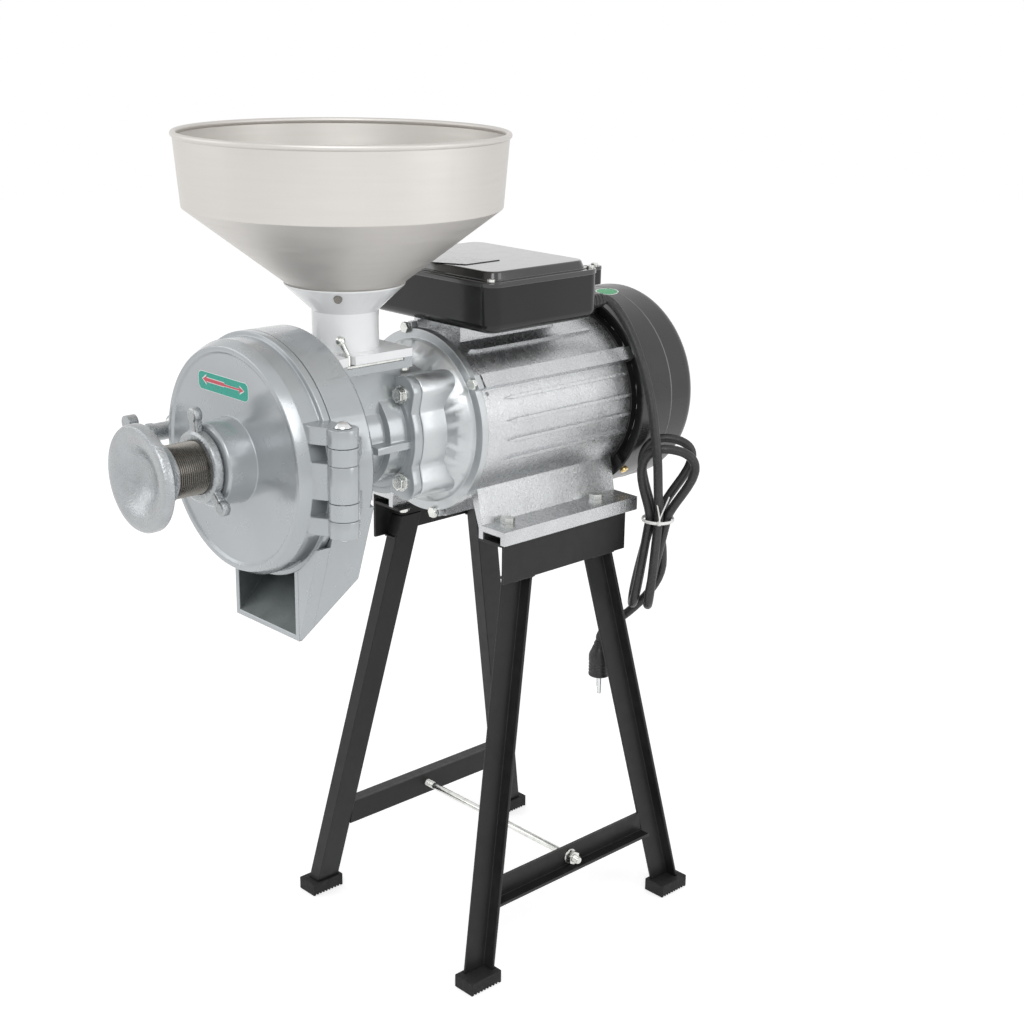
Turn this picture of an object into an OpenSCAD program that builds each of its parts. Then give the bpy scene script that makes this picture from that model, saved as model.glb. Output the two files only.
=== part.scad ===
// Electric grain mill: a flange motor on a welded angle-iron stand, with a stone
// grinding head, an adjusting handwheel and a funnel hopper.
// Millimetres. +Z is up, the head and handwheel face -Y, the cord and door hinge are on +X.
// The origin is on the floor, midway between the four rubber feet.

/* [Stand] */
// Height of the top bars' upper face above the floor
bar_top = 447; // [400:1:470]
// Half the spread of the two top bars over their outer faces
bar_half = 100; // [97:1:106]
// Half the length of a top bar
bar_len_half = 86; // [80:1:94]
// Leg width of the top bars' angle iron
bar_w = 40; // [34:1:42]
// Wall of all angle iron
iron_t = 3; // [2.5:0.5:3.5]
// Leg's flange across Y faces, measured along X
leg_wx = 16; // [14:1:18]
// Leg's flange across X faces, measured along Y
leg_wy = 28; // [24:1:32]
// Half the spread of the feet along X
foot_x = 130; // [124:1:136]
// Half the spread of the feet along Y
foot_y = 142; // [134:1:150]
// Rubber foot's size along X
foot_wx = 26; // [24:1:30]
// Rubber foot's size along Y
foot_wy = 40; // [36:1:44]
// Rubber foot's height
foot_h = 14; // [12:1:18]
// Height of the crossbars' middle
cross_z = 87; // [80:1:110]
// Width of the crossbars' upright flange
cross_w = 25; // [22:1:30]
// Radius of the tie rod's plain shank
tie_r = 3.6; // [3:0.1:3.9]

/* [Motor] */
// Height of the motor's axis above the floor
axis_z = 556; // [554:1:560]
// Outer radius of the motor's tube
frame_r = 87; // [86:0.5:88]
// Wall of the motor's tube
frame_wall = 7; // [6:0.5:8]
// Front end of the motor's tube
frame_front = -98; // [-100:1:-96]
// Rear end of the motor's tube
frame_rear = 101; // [99:1:102]
// Bolt pattern of the feet along X
foot_pat_x = 160; // [158:1:162]
// Bolt pattern of the feet along Y
foot_pat_y = 125; // [120:1:130]
// Radius of the motor's shaft at the head
shaft_r = 10; // [9:0.5:10]
// Stator's half length
stator_half = 50; // [40:1:55]
// Rise of the control box's floor over the motor's tube
box_rise = 9; // [8:1:12]
// Half width of the control box
box_half = 90; // [86:1:94]
// Front face of the control box
box_front = -98; // [-102:1:-94]
// Rear face of the control box
box_rear = 50; // [46:1:54]
// Height of the control box without its lid
box_h = 45; // [42:1:48]
// How far the fan cover stands out past the motor's tube
cover_over = 17; // [16:0.5:17.5]
// Rear face of the fan cover
cover_rear = 184; // [180:1:190]

/* [Grinding head] */
// Outer radius of the grinding drum and its door
drum_r = 112; // [110:0.5:113]
// Rear face of the drum's back wall
drum_back = -251; // [-253:1:-250]
// Depth of the drum from its back wall to its front edge
drum_depth = 41; // [40.5:0.5:42]
// How far the door's face stands in front of the drum's edge
door_depth = 36; // [35:1:38]
// Radius of both grinding stones
stone_r = 90; // [86:1:92]
// Gap between the stones at rest
stone_gap = 2; // [1.8:0.1:2.2]
// Distance of the hinge pin's axis from the motor's axis
hinge_x = 127; // [126:0.5:129]
// Radius of the hinge knuckles
hinge_r = 13.5; // [12:0.5:14]
// Radius of the hinge pin
pin_r = 5; // [4:0.25:6]
// Distance of the clamp stud from the motor's axis
clamp_x = 126; // [125:0.5:128]
// How far the chute's mouth stands in front of the drum's edge
chute_reach = 14; // [13:1:17]
// Chute mouth's lowest edge
chute_low = 396; // [390:1:400]
// Radius of the adjusting screw
screw_r = 24; // [22:0.5:25]
// Pitch of the adjusting screw
screw_pitch = 2; // [1.5:0.25:2.5]
// Radius of the handwheel's rim
wheel_r = 47.5; // [44:0.5:52]

/* [Hopper] */
// Distance of the hopper's axis in front of the origin
hopper_y = 197; // [195:1:198]
// Upper face of the throat flange
throat_z = 634; // [632:1:636]
// Height of the hopper's conical floor at its narrow end
cone_z = 699; // [696:1:702]
// Height where the cone meets the hopper's wall
wall_z = 771.5; // [765:0.5:778]
// Height of the hopper's rim
rim_z = 838; // [830:1:850]
// Outer radius of the hopper's wall
hopper_r = 150; // [146:1:153]
// Wall of the hopper's sheet
hopper_t = 1.2; // [1:0.1:1.5]

/* [Cord] */
// Radius of the cord
cord_r = 4.75; // [4.5:0.05:4.8]
// Radius of the circle that carries the five strands at the hank's waist
waist_r = 9.2; // [9:0.1:9.8]

/* [Clearances] */
// Radial running clearance of shafts, pins and threads
run_gap = 0.05; // [0.03:0.01:0.08]
// Clearance between faces that move past each other
face_gap = 0.3; // [0.2:0.05:0.4]

/* [Hidden] */
$fn = 72;
eps = 0.01;

box_z = axis_z + frame_r + box_rise;
cover_r = frame_r + cover_over;
drum_front = drum_back - drum_depth;
door_face = drum_front - door_depth;
chute_front = drum_front - chute_reach;
bar_low = bar_top - bar_w;
// A leg's outer corner leans from the bar to the foot
leg_top_z = bar_top - 17;
leg_low_z = 4;
leg_ref_z = 12;
leg_top_x = bar_half - iron_t - 0.2 - leg_wx;
leg_foot_x = foot_x - 9.5;
leg_top_y = bar_len_half - 29;
leg_foot_y = foot_y - 2;
cross_x = leg_x(cross_z);
bolt_r = 4;
bolt_hole_r = 4.5;
foot_plate_z = bar_top + 14;

function leg_x(z) = leg_top_x + (bar_low - z) * (leg_foot_x - leg_top_x) / (bar_low - leg_ref_z);
function leg_y(z) = leg_top_y + (bar_low - z) * (leg_foot_y - leg_top_y) / (bar_low - leg_ref_z);

// A cylinder along the motor's axis, from y0 to y1
module ycyl(r, y0, y1) {
    translate([0, y0, axis_z]) rotate([-90, 0, 0]) cylinder(r = r, h = y1 - y0);
}

// A cone along the motor's axis
module ycone(r0, r1, y0, y1) {
    translate([0, y0, axis_z]) rotate([-90, 0, 0]) cylinder(r1 = r0, r2 = r1, h = y1 - y0);
}

// A ring along the motor's axis
module yring(ro, ri, y0, y1) {
    difference() {
        ycyl(ro, y0, y1);
        ycyl(ri, y0 - 1, y1 + 1);
    }
}

// A profile of [radius, y] points, turned about the motor's axis
module yturn(points) {
    translate([0, 0, axis_z]) rotate([-90, 0, 0]) rotate_extrude() polygon(points);
}

// Places children at radius r and angle a about the motor's axis, angles counted from +X towards +Z
module around(r, a) {
    translate([r * cos(a), 0, axis_z + r * sin(a)]) children();
}

// A small cylinder along Y, at the place of around()
module pinhole(r, y0, y1) {
    translate([0, y0, 0]) rotate([-90, 0, 0]) cylinder(r = r, h = y1 - y0, $fn = 32);
}

// A hexagon along Y, with width w over its flats
module hex_y(w, y0, y1) {
    translate([0, y0, 0]) rotate([-90, 0, 0]) cylinder(r = w / sqrt(3), h = y1 - y0, $fn = 6);
}

// A box from one corner to the other
module span(low, high) {
    translate(low) cube(high - low);
}

// A prism across X from x0 to x1, of [y, z] points
module yz_prism(x0, x1, points) {
    translate([x0, 0, 0]) rotate([90, 0, 90]) linear_extrude(x1 - x0) polygon(points);
}

// Draws its children and their copy turned half round the upright axis
module both_frames() {
    for (a = [0, 180]) rotate([0, 0, a]) children();
}

// Section of a right-hand leg at height z, grown by g
function leg_ring(z, sy, g) = let (x = leg_x(z), y = sy * leg_y(z), h = leg_wy / 2) [
    [x - g, y - h - g, z], [x + iron_t + g, y - h - g, z], [x + iron_t + g, y + h - iron_t - g, z],
    [x + leg_wx + g, y + h - iron_t - g, z], [x + leg_wx + g, y + h + g, z], [x - g, y + h + g, z]];

// A right-hand leg from z0 to z1, with sy -1 at the head and +1 at the fan
module leg_bar(sy, z0, z1, g = 0) {
    polyhedron(points = concat(leg_ring(z0, sy, g), leg_ring(z1, sy, g)),
        faces = concat([[0, 1, 2, 5], [2, 3, 4, 5], [8, 7, 6, 11], [11, 10, 9, 8]],
            [for (i = [0:5]) [i, i + 6, (i + 1) % 6 + 6, (i + 1) % 6]]));
}

module leg(sy, turn) {
    color("#202124") rotate([0, 0, turn]) leg_bar(sy, leg_low_z, leg_top_z);
}
module leg_front_right() { leg(-1, 0); }
module leg_rear_right() { leg(1, 0); }
module leg_front_left() { leg(1, 180); }
module leg_rear_left() { leg(-1, 180); }

module top_bars() {
    color("#202124") both_frames() difference() {
        union() {
            span([bar_half - iron_t, -bar_len_half, bar_low], [bar_half, bar_len_half, bar_top]);
            span([bar_half - bar_w, -bar_len_half, bar_top - iron_t], [bar_half - iron_t + eps, bar_len_half, bar_top]);
        }
        for (s = [-1, 1])
            translate([foot_pat_x / 2, s * foot_pat_y / 2, bar_low]) cylinder(r = bolt_hole_r, h = bar_w + 1, $fn = 32);
    }
}

// Half length of a crossbar at height z, where it meets the legs
function cross_end(z) = leg_y(z) - leg_wy / 2 - 0.1;

// One flange of a crossbar
module cross_flange(x0, x1, z0, z1) {
    yz_prism(x0, x1, [[-cross_end(z0), z0], [cross_end(z0), z0], [cross_end(z1), z1], [-cross_end(z1), z1]]);
}

module crossbars() {
    low = cross_z - cross_w / 2;
    top = cross_z + cross_w / 2;
    color("#202124") for (side = [0, 1]) rotate([0, 0, side * 180]) difference() {
        union() {
            cross_flange(cross_x, cross_x + iron_t, low, top);
            if (side == 0) cross_flange(cross_x + iron_t - eps, cross_x + iron_t + 12, low, low + iron_t);
            if (side == 1) cross_flange(cross_x + iron_t - eps, cross_x + iron_t + 12, top - iron_t, top);
        }
        translate([cross_x - 1, 0, cross_z]) rotate([0, 90, 0]) cylinder(r = bolt_hole_r, h = iron_t + 2, $fn = 32);
    }
}

module tie_rod() {
    end = cross_x + 18;
    color("#b9bbbd") translate([0, 0, cross_z]) rotate([0, 90, 0]) {
        cylinder(r = tie_r, h = 2 * (end - 30), center = true, $fn = 32);
        for (s = [-1, 1]) translate([0, 0, s * (end - 15)]) cylinder(r = bolt_r, h = 30 + eps, center = true, $fn = 32);
    }
}

module tie_rod_nuts() {
    color("#b9bbbd") both_frames() translate([cross_x + iron_t, 0, cross_z]) rotate([0, 90, 0]) difference() {
        union() {
            cylinder(r = 8, h = 1.6, $fn = 40);
            translate([0, 0, 1.6 - eps]) cylinder(r = 13 / sqrt(3), h = 6.5, $fn = 6);
        }
        translate([0, 0, -1]) cylinder(r = bolt_r + run_gap, h = 10, $fn = 32);
    }
}

module rubber_feet() {
    ridge = 4;
    color("#1b1c1d") both_frames() for (sy = [-1, 1]) difference() {
        span([foot_x - foot_wx / 2, sy * foot_y - foot_wy / 2, 0], [foot_x + foot_wx / 2, sy * foot_y + foot_wy / 2, foot_h]);
        leg_bar(sy, leg_low_z - 0.1, foot_h + 1, 0.3);
        for (k = [-4:4])
            span([0, sy * foot_y + k * ridge - 1, -1], [foot_x + foot_wx, sy * foot_y + k * ridge + 1, 1.5]);
    }
}

module foot_bolts() {
    color("#c4c6c8") for (sx = [-1, 1], sy = [-1, 1]) translate([sx * foot_pat_x / 2, sy * foot_pat_y / 2, 0]) {
        translate([0, 0, foot_plate_z]) cylinder(r = 13 / sqrt(3), h = 5.3, $fn = 6);
        translate([0, 0, bar_top - 13]) cylinder(r = bolt_r, h = foot_plate_z - bar_top + 13 + eps, $fn = 32);
        difference() {
            union() {
                translate([0, 0, bar_top - iron_t - 1.6]) cylinder(r = 8, h = 1.6, $fn = 40);
                translate([0, 0, bar_top - iron_t - 8.1]) cylinder(r = 13 / sqrt(3), h = 6.5 + eps, $fn = 6);
            }
            translate([0, 0, bar_top - 14]) cylinder(r = bolt_r + run_gap, h = 14, $fn = 32);
        }
    }
}

// A prism along Y from y0 to y1, of [x, z] points
module xz_prism(y0, y1, points) {
    translate([0, y1, 0]) rotate([90, 0, 0]) linear_extrude(y1 - y0) polygon(points);
}

// A bar that runs along the motor, from radius r0 to r1 at angle a, w wide
module spoke(a, r0, r1, w, y0, y1) {
    translate([0, 0, axis_z]) rotate([0, -a, 0]) span([r0, y0, -w / 2], [r1, y1, w / 2]);
}

// A round hole or pin that points outward from the motor's axis
module radial(a, r0, r1, r, y) {
    translate([0, y, axis_z]) rotate([0, -a, 0]) rotate([0, 90, 0]) translate([0, 0, r0])
        cylinder(r = r, h = r1 - r0, $fn = 32);
}

lug_angles = [33, 103, 213, 283];
lug_r = frame_r + 4.5;
lug_w = 14;
rib_angles = [21, 6.6, -6, -19];
tie_bolt_r = 3;
bore_r = frame_r - frame_wall;
bell_front = frame_front - 57;
face_lobe_r = 60;
front_pocket = [frame_front - 44, frame_front - 30];
rear_pocket = [frame_rear + 3, frame_rear + 15];
cover_angles = [-45, 75, 195];
cover_screw_y = frame_rear + 9;
rear_shaft_r = shaft_r - 1.5;
shaft_tip = drum_back + 6;

// The foot rail on side s, +1 or -1
module foot_rail(s) {
    plate = foot_plate_z;
    xz_prism(frame_front + 10, frame_rear - 1, [for (p = [
        [0.62 * frame_r, axis_z - 0.747 * frame_r], [0.724 * frame_r, axis_z - 0.667 * frame_r], [70, plate], [bar_half + 3, plate], [bar_half + 3, bar_top],
        [bar_half - 3, bar_top], [bar_half - 3, plate - 6], [72, plate - 6], [72, bar_top], [66, bar_top],
        [66, plate - 4]]) [s * p[0], p[1]]]);
}

module motor_frame() {
    color("#b4b8ba") difference() {
        union() {
            ycyl(frame_r, frame_front, frame_rear);
            for (a = rib_angles, m = [0, 1])
                spoke(m == 0 ? a : 180 - a, frame_r - 2, frame_r + 3, 3.5, frame_front + 36, frame_rear - 0.5);
            for (a = [57, 123]) spoke(a, frame_r - 2, frame_r + 3, 3.5, frame_front + 21, frame_rear - 24);
            for (a = lug_angles) spoke(a, frame_r - 2, frame_r + 10, lug_w, frame_front + 0.5, frame_rear - 0.5);
            span([-34, frame_front + 13, axis_z + frame_r - 27], [34, frame_rear - 61, box_z]);
            for (s = [-1, 1]) foot_rail(s);
        }
        ycyl(bore_r, frame_front - 1, frame_rear + 1);
        for (a = lug_angles) around(lug_r, a) pinhole(tie_bolt_r + 0.3, frame_front - 1, frame_rear + 1);
        for (sx = [-1, 1], sy = [-1, 1])
            translate([sx * foot_pat_x / 2, sy * foot_pat_y / 2, bar_top]) cylinder(r = bolt_hole_r, h = 20, $fn = 32);
        translate([20, -20, axis_z + frame_r - 17]) cylinder(r = 8, h = 2 * box_rise + 20, $fn = 32);
        for (y = [frame_front + 8, frame_rear - 8]) radial(26, frame_r - 3, frame_r + 2, 2, y);
    }
}

module front_end_bell() {
    f = frame_front;
    color("#c3c5c6") difference() {
        union() {
            yturn([[bore_r - 4, f + 6], [bore_r - 0.1, f + 6], [bore_r - 0.1, f - 0.3], [frame_r + 3, f - 0.3],
                [frame_r + 3, f - 8], [frame_r - 6, f - 8], [frame_r - 8, f - 14], [frame_r - 17, f - 23],
                [frame_r - 29, f - 30], [frame_r - 35, f - 34],
                [56, f - 40], [56, bell_front], [12, bell_front], [12, front_pocket[0]],
                [23.5 + run_gap, front_pocket[0]], [23.5 + run_gap, front_pocket[1]], [29, front_pocket[1]],
                [29, f - 24], [bore_r - 30, f - 20], [bore_r - 12, f - 10], [bore_r - 6, f - 2]]);
            for (k = [0:3]) around(face_lobe_r, 45 + 90 * k) pinhole(14, bell_front, f - 27);
            for (a = lug_angles) spoke(a, frame_r - 8, frame_r + 9, lug_w, f - 7.5, f - 0.8);
        }
        for (k = [0:3]) around(face_lobe_r, 45 + 90 * k) pinhole(bolt_r, bell_front - 1, bell_front + 20);
        for (a = lug_angles) around(lug_r, a) pinhole(tie_bolt_r + 0.3, f - 20, f + 10);
    }
}

module rear_end_bell() {
    r = frame_rear;
    color("#c3c5c6") difference() {
        union() {
            yturn([[bore_r - 4, r - 6], [bore_r - 0.1, r - 6], [bore_r - 0.1, r + 0.3], [frame_r + 2, r + 0.3],
                [frame_r + 2, r + 8], [frame_r - 3, r + 8], [frame_r - 8, r + 12], [frame_r - 47, r + 19],
                [frame_r - 57, r + 21], [rear_shaft_r + 1, r + 21],
                [rear_shaft_r + 1, rear_pocket[1]], [20 + run_gap, rear_pocket[1]],
                [20 + run_gap, rear_pocket[0]], [27, rear_pocket[0]], [27, r + 9], [bore_r - 10, r + 3],
                [bore_r - 4, r - 2]]);
            for (a = lug_angles) spoke(a, frame_r - 8, frame_r + 9, lug_w, r + 0.8, r + 7.5);
            for (a = cover_angles) spoke(a, frame_r - 9, cover_r - 2.3, lug_w, r + 3, r + 15);
        }
        for (a = lug_angles) around(lug_r, a) pinhole(tie_bolt_r + 0.3, r - 10, r + 20);
        for (a = cover_angles) radial(a, cover_r - 14, cover_r, 2.5 + run_gap, cover_screw_y);
    }
}

module tie_bolts() {
    color("#9ea1a3") for (a = lug_angles) around(lug_r, a) {
        hex_y(10, frame_front - 12, frame_front - 8);
        pinhole(tie_bolt_r, frame_front - 8 - eps, frame_rear + 15);
        difference() {
            hex_y(10, frame_rear + 8.1, frame_rear + 13);
            pinhole(tie_bolt_r + run_gap, frame_rear, frame_rear + 20);
        }
    }
}

module stator_core() {
    color("#6f6a66") yring(bore_r - run_gap, 45.5, -stator_half, stator_half);
}

module windings() {
    s = stator_half;
    color("#b06a35") for (m = [-1, 1])
        yturn([for (p = [[-30, 0], [-5, 0], [-5, 18], [-10, 25], [-25, 25], [-30, 18]])
            [bore_r + p[0], m * (s + 0.1 + p[1])]]);
}

module rotor_core() {
    color("#8d9092") yring(45, shaft_r + run_gap, -stator_half, stator_half);
}

module motor_shaft() {
    color("#c9ccce") difference() {
        union() {
            ycyl(shaft_r, shaft_tip, rear_pocket[0] - 1);
            ycyl(rear_shaft_r, rear_pocket[0] - 2, rear_pocket[1] + 52);
        }
        span([-3, shaft_tip + 5, axis_z + 6.5], [3, shaft_tip + 35, axis_z + 20]);
    }
}

module drive_key() {
    color("#9a9c9e") span([-2.95, shaft_tip + 5.1, axis_z + 6.6], [2.95, shaft_tip + 34.9, axis_z + 12.4]);
}

// A ball bearing with outer radius ro, on a shaft of radius ri
module ball_bearing(ro, ri, y) {
    mid = (ro + ri) / 2;
    wall = (ro - ri) / 4;
    color("#a9adb0") {
        yring(ro, ro - wall, y[0] + 0.1, y[1] - 0.1);
        yring(ri + run_gap + wall, ri + run_gap, y[0] + 0.1, y[1] - 0.1);
        for (k = [0:7]) around(mid, 45 * k) translate([0, (y[0] + y[1]) / 2, 0]) sphere(r = mid - ri - wall - 0.1, $fn = 32);
    }
}
module front_bearing() { ball_bearing(23.5, shaft_r, front_pocket); }
module rear_bearing() { ball_bearing(20, rear_shaft_r, rear_pocket); }

module cooling_fan() {
    y = frame_rear + 27;
    color("#2c2d2f") difference() {
        union() {
            ycyl(15, y, y + 22);
            ycyl(60, y, y + 2.5);
            for (k = [0:5]) spoke(60 * k, 14, 85, 2.5, y, y + 22);
        }
        ycyl(rear_shaft_r + run_gap, y - 1, y + 23);
    }
}

// A quarter-round shoulder of radius r about [cr, cy], as [radius, y] points
function shoulder(cr, cy, r) = [for (a = [0:15:90]) [cr + r * cos(a), cy + r * sin(a)]];

module fan_cover() {
    front = frame_rear + 2;
    rear = cover_rear;
    color("#232426") difference() {
        yturn(concat([[cover_r - 2, front], [cover_r, front]], shoulder(cover_r - 12, rear - 12, 12), [[8, rear],
            [8, rear - 2]], [for (k = [6:-1:0]) [cover_r - 12 + 10 * cos(15 * k), rear - 12 + 10 * sin(15 * k)]]));
        difference() {
            for (r = [20:14:76]) yring(r + 9, r, rear - 5, rear + 1);
            for (k = [0:5]) spoke(60 * k, 0, cover_r, 6, rear - 6, rear + 2);
        }
        for (a = cover_angles) radial(a, cover_r - 6, cover_r + 2, 2.7, cover_screw_y);
    }
}

module fan_cover_screws() {
    color("#c9a450") for (a = cover_angles) {
        radial(a, cover_r - 13, cover_r + 1, 2.5, cover_screw_y);
        difference() {
            radial(a, cover_r + 0.1, cover_r + 2.6, 4.2, cover_screw_y);
            translate([0, 0, axis_z]) rotate([0, -a, 0])
                span([cover_r + 1.8, cover_screw_y - 5, -0.5], [cover_r + 4, cover_screw_y + 5, 0.5]);
        }
    }
}

box_wall = 3;
box_corner = 15;
box_top = box_z + box_h;
lid_t = 4;
lid_top = box_top + 12;
cap_r = 18;
lid_screw_at = concat(
    [for (sx = [-1, 1], y = [box_front + box_corner, box_rear - box_corner])
        [sx * (box_half - box_corner + 7), y + sign(y - (box_front + box_rear) / 2) * 7]],
    [[box_half - 16, box_rear + 6]]);

// A rounded rectangle as four circles and two squares, with its edge moved in by g
module round_rect(x0, x1, y0, y1, r, g = 0) {
    for (x = [x0 + r, x1 - r], y = [y0 + r, y1 - r]) translate([x, y]) circle(r = r - g, $fn = 40);
    translate([x0 + r, y0 + g]) square([x1 - x0 - 2 * r, y1 - y0 - 2 * g]);
    translate([x0 + g, y0 + r]) square([x1 - x0 - 2 * g, y1 - y0 - 2 * r]);
}

// A slab with the control box's outline, its edge moved in by g
module box_slab(z0, z1, g) {
    translate([0, 0, z0]) linear_extrude(z1 - z0) round_rect(-box_half, box_half, box_front, box_rear, box_corner, g);
}

// The tab behind the box that takes the fifth lid screw
module box_tab(z0, z1) {
    translate([box_half - 16, box_rear + 6, z0]) cylinder(r = 7, h = z1 - z0, $fn = 32);
    span([box_half - 23, box_rear - 2, z0], [box_half - 9, box_rear + 6, z1]);
}

module control_box() {
    color("#232425") difference() {
        union() {
            box_slab(box_z, box_z + 5, 4);
            box_slab(box_z + 5 - eps, box_top, 0);
            box_tab(box_top - 14, box_top);
        }
        difference() {
            box_slab(box_z + box_wall, box_top + 1, box_wall + 1);
            for (p = lid_screw_at) translate([p[0], p[1], box_z]) cylinder(r = 4.5, h = box_h + 2, $fn = 32);
        }
        for (p = lid_screw_at) translate([p[0], p[1], box_top - 13]) cylinder(r = 2 + run_gap, h = 14, $fn = 24);
        translate([20, -20, box_z - 1]) cylinder(r = 8, h = 6, $fn = 32);
        translate([gland_x, box_rear - 8, gland_z]) rotate([-90, 0, 0]) cylinder(r = 6 + run_gap, h = 9, $fn = 32);
    }
}

module control_box_lid() {
    color("#232425") difference() {
        union() {
            box_slab(box_top, box_top + lid_t, 0);
            box_tab(box_top, box_top + lid_t);
            hull() {
                box_slab(box_top + lid_t - 1, box_top + lid_t, 9.5);
                box_slab(lid_top - 1, lid_top, 14);
            }
        }
        box_slab(box_top - 1, lid_top - 3, 14.6);
        for (p = lid_screw_at) translate([p[0], p[1], box_top - 1]) cylinder(r = 2.2, h = 20, $fn = 24);
    }
}

module lid_screws() {
    color("#c4c6c8") for (p = lid_screw_at) translate([p[0], p[1], box_top]) {
        translate([0, 0, -12]) cylinder(r = 2, h = 12 + lid_t + eps, $fn = 24);
        difference() {
            translate([0, 0, lid_t]) cylinder(r = 3.6, h = 2.4, $fn = 32);
            for (a = [0, 90]) rotate([0, 0, a]) span([-2.5, -0.4, lid_t + 1.4], [2.5, 0.4, lid_t + 3]);
        }
    }
}

// A capacitor that lies along X on the floor of the control box
module capacitor(length, y) {
    translate([-length / 2, y, box_z + box_wall + cap_r + 0.1]) rotate([0, 90, 0]) {
        cylinder(r = cap_r, h = length);
        for (s = [-6, 6]) translate([0, s, length - eps]) cylinder(r = 1.5, h = 8, $fn = 24);
    }
}
module start_capacitor() { color("#1c1d20") capacitor(90, box_front + 40); }
module run_capacitor() { color("#c9cbcd") capacitor(80, box_front + 80); }

module terminal_block() {
    z = box_z + box_wall;
    color("#d8d4c2") difference() {
        span([-30, box_rear - 29, z], [30, box_rear - 14, z + 18]);
        for (k = [0:3]) translate([-21 + 14 * k, box_rear - 21.5, z + 6]) cylinder(r = 3, h = 20, $fn = 24);
    }
}

gland_x = box_half - 22;
gland_z = box_z + 12;
gland_tip = box_rear + 25;

module cable_gland() {
    color("#1b1b1c") translate([gland_x, 0, gland_z]) {
        pinhole(6, box_rear - 6, box_rear + eps);
        pinhole(9, box_rear, box_rear + 5);
        for (k = [0:3]) pinhole(8 - 0.4 * k, box_rear + 5 + 5 * k, box_rear + 9 + 5 * k);
        pinhole(5.6, box_rear + 4, gland_tip);
    }
}

throat_r = 25;
neck_r = 26;
tube_bore = 28;
seal_y = [bell_front - 17, bell_front - 9];
gate_half = 33;
gate_t = 2;
gate_z = throat_z - gate_t - 0.4;
throat_span = [-hopper_y - 43, -hopper_y + 43];
throat_half = 45;
trunk_half = throat_r + 8;
flange_bolt_at = [for (sx = [-1, 1], sy = [-1, 1]) [sx * (throat_half - 7), -hopper_y + sy * 38.5]];
drum_screw_angles = [45, 135, 225, 315];
drum_screw_r = 35;

module feed_housing() {
    color("#c2c7c8") difference() {
        union() {
            ycyl(56, bell_front - 10, bell_front);
            for (k = [0:3]) around(face_lobe_r, 45 + 90 * k) pinhole(14, bell_front - 10, bell_front);
            ycyl(50, bell_front - 30, bell_front - 10 + eps);
            ycyl(42, drum_back, bell_front - 20);
            span([30, bell_front - 50, axis_z - 7], [56, bell_front - 5, axis_z]);
            span([-trunk_half, -hopper_y - 35, axis_z], [trunk_half, bell_front - 4, throat_z - 9]);
            span([-throat_half, throat_span[0], throat_z - 10], [throat_half, throat_span[1], throat_z]);
        }
        ycyl(tube_bore, drum_back - 1, seal_y[0]);
        ycyl(20 + run_gap, seal_y[0] - 1, seal_y[1]);
        ycyl(12, seal_y[1] - 1, bell_front + 1);
        translate([0, -hopper_y, axis_z]) cylinder(r = throat_r, h = 100);
        span([-60, -hopper_y - gate_half - face_gap, gate_z - 0.2], [60, -hopper_y + gate_half + face_gap, throat_z + 1]);
        for (k = [0:3]) around(face_lobe_r, 45 + 90 * k) pinhole(bolt_hole_r, bell_front - 11, bell_front + 1);
        for (a = drum_screw_angles) around(drum_screw_r, a) pinhole(2.5 + run_gap, drum_back - 1, drum_back + 14);
        for (p = flange_bolt_at) translate([p[0], p[1], throat_z - 11]) cylinder(r = 2.7, h = 12, $fn = 24);
    }
}

module housing_bolts() {
    color("#8f9294") for (k = [0:3]) around(face_lobe_r, 45 + 90 * k) {
        hex_y(13, bell_front - 16, bell_front - 11.6);
        pinhole(8, bell_front - 11.6 - eps, bell_front - 10);
        pinhole(bolt_r - run_gap, bell_front - 10 - eps, bell_front + 18);
    }
}

module shaft_seal() {
    color("#2a2522") yring(20, shaft_r + run_gap, seal_y[0], seal_y[1]);
}

cavity_r = drum_r - 9;
drum_floor = drum_back - 12;
door_back = drum_front - face_gap;
chute_x = [-32, 66];
chute_wall = 5;
hinge_y = drum_front - 8;
// Heights of the hinge's knuckles above the motor's axis: the door's, the drum's, the door's and so on
door_knuckles = [[34, 50], [-14.6, 18.2], [-46.5, -30.5]];
drum_knuckles = [[18.6, 33.6], [-30, -15]];
lug_y = drum_front + 22;
lug_outer = 14;
stud_r = 5;

// The chute's side view: the sloped floor moved in by g
function chute_side(g, back, front, top) =
    [[back, top], [back, axis_z - 108 + (back - drum_back) + g * sqrt(2)],
     [front, max(chute_low, axis_z - 108 + (front - drum_back) + g * sqrt(2))], [front, top]];

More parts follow.
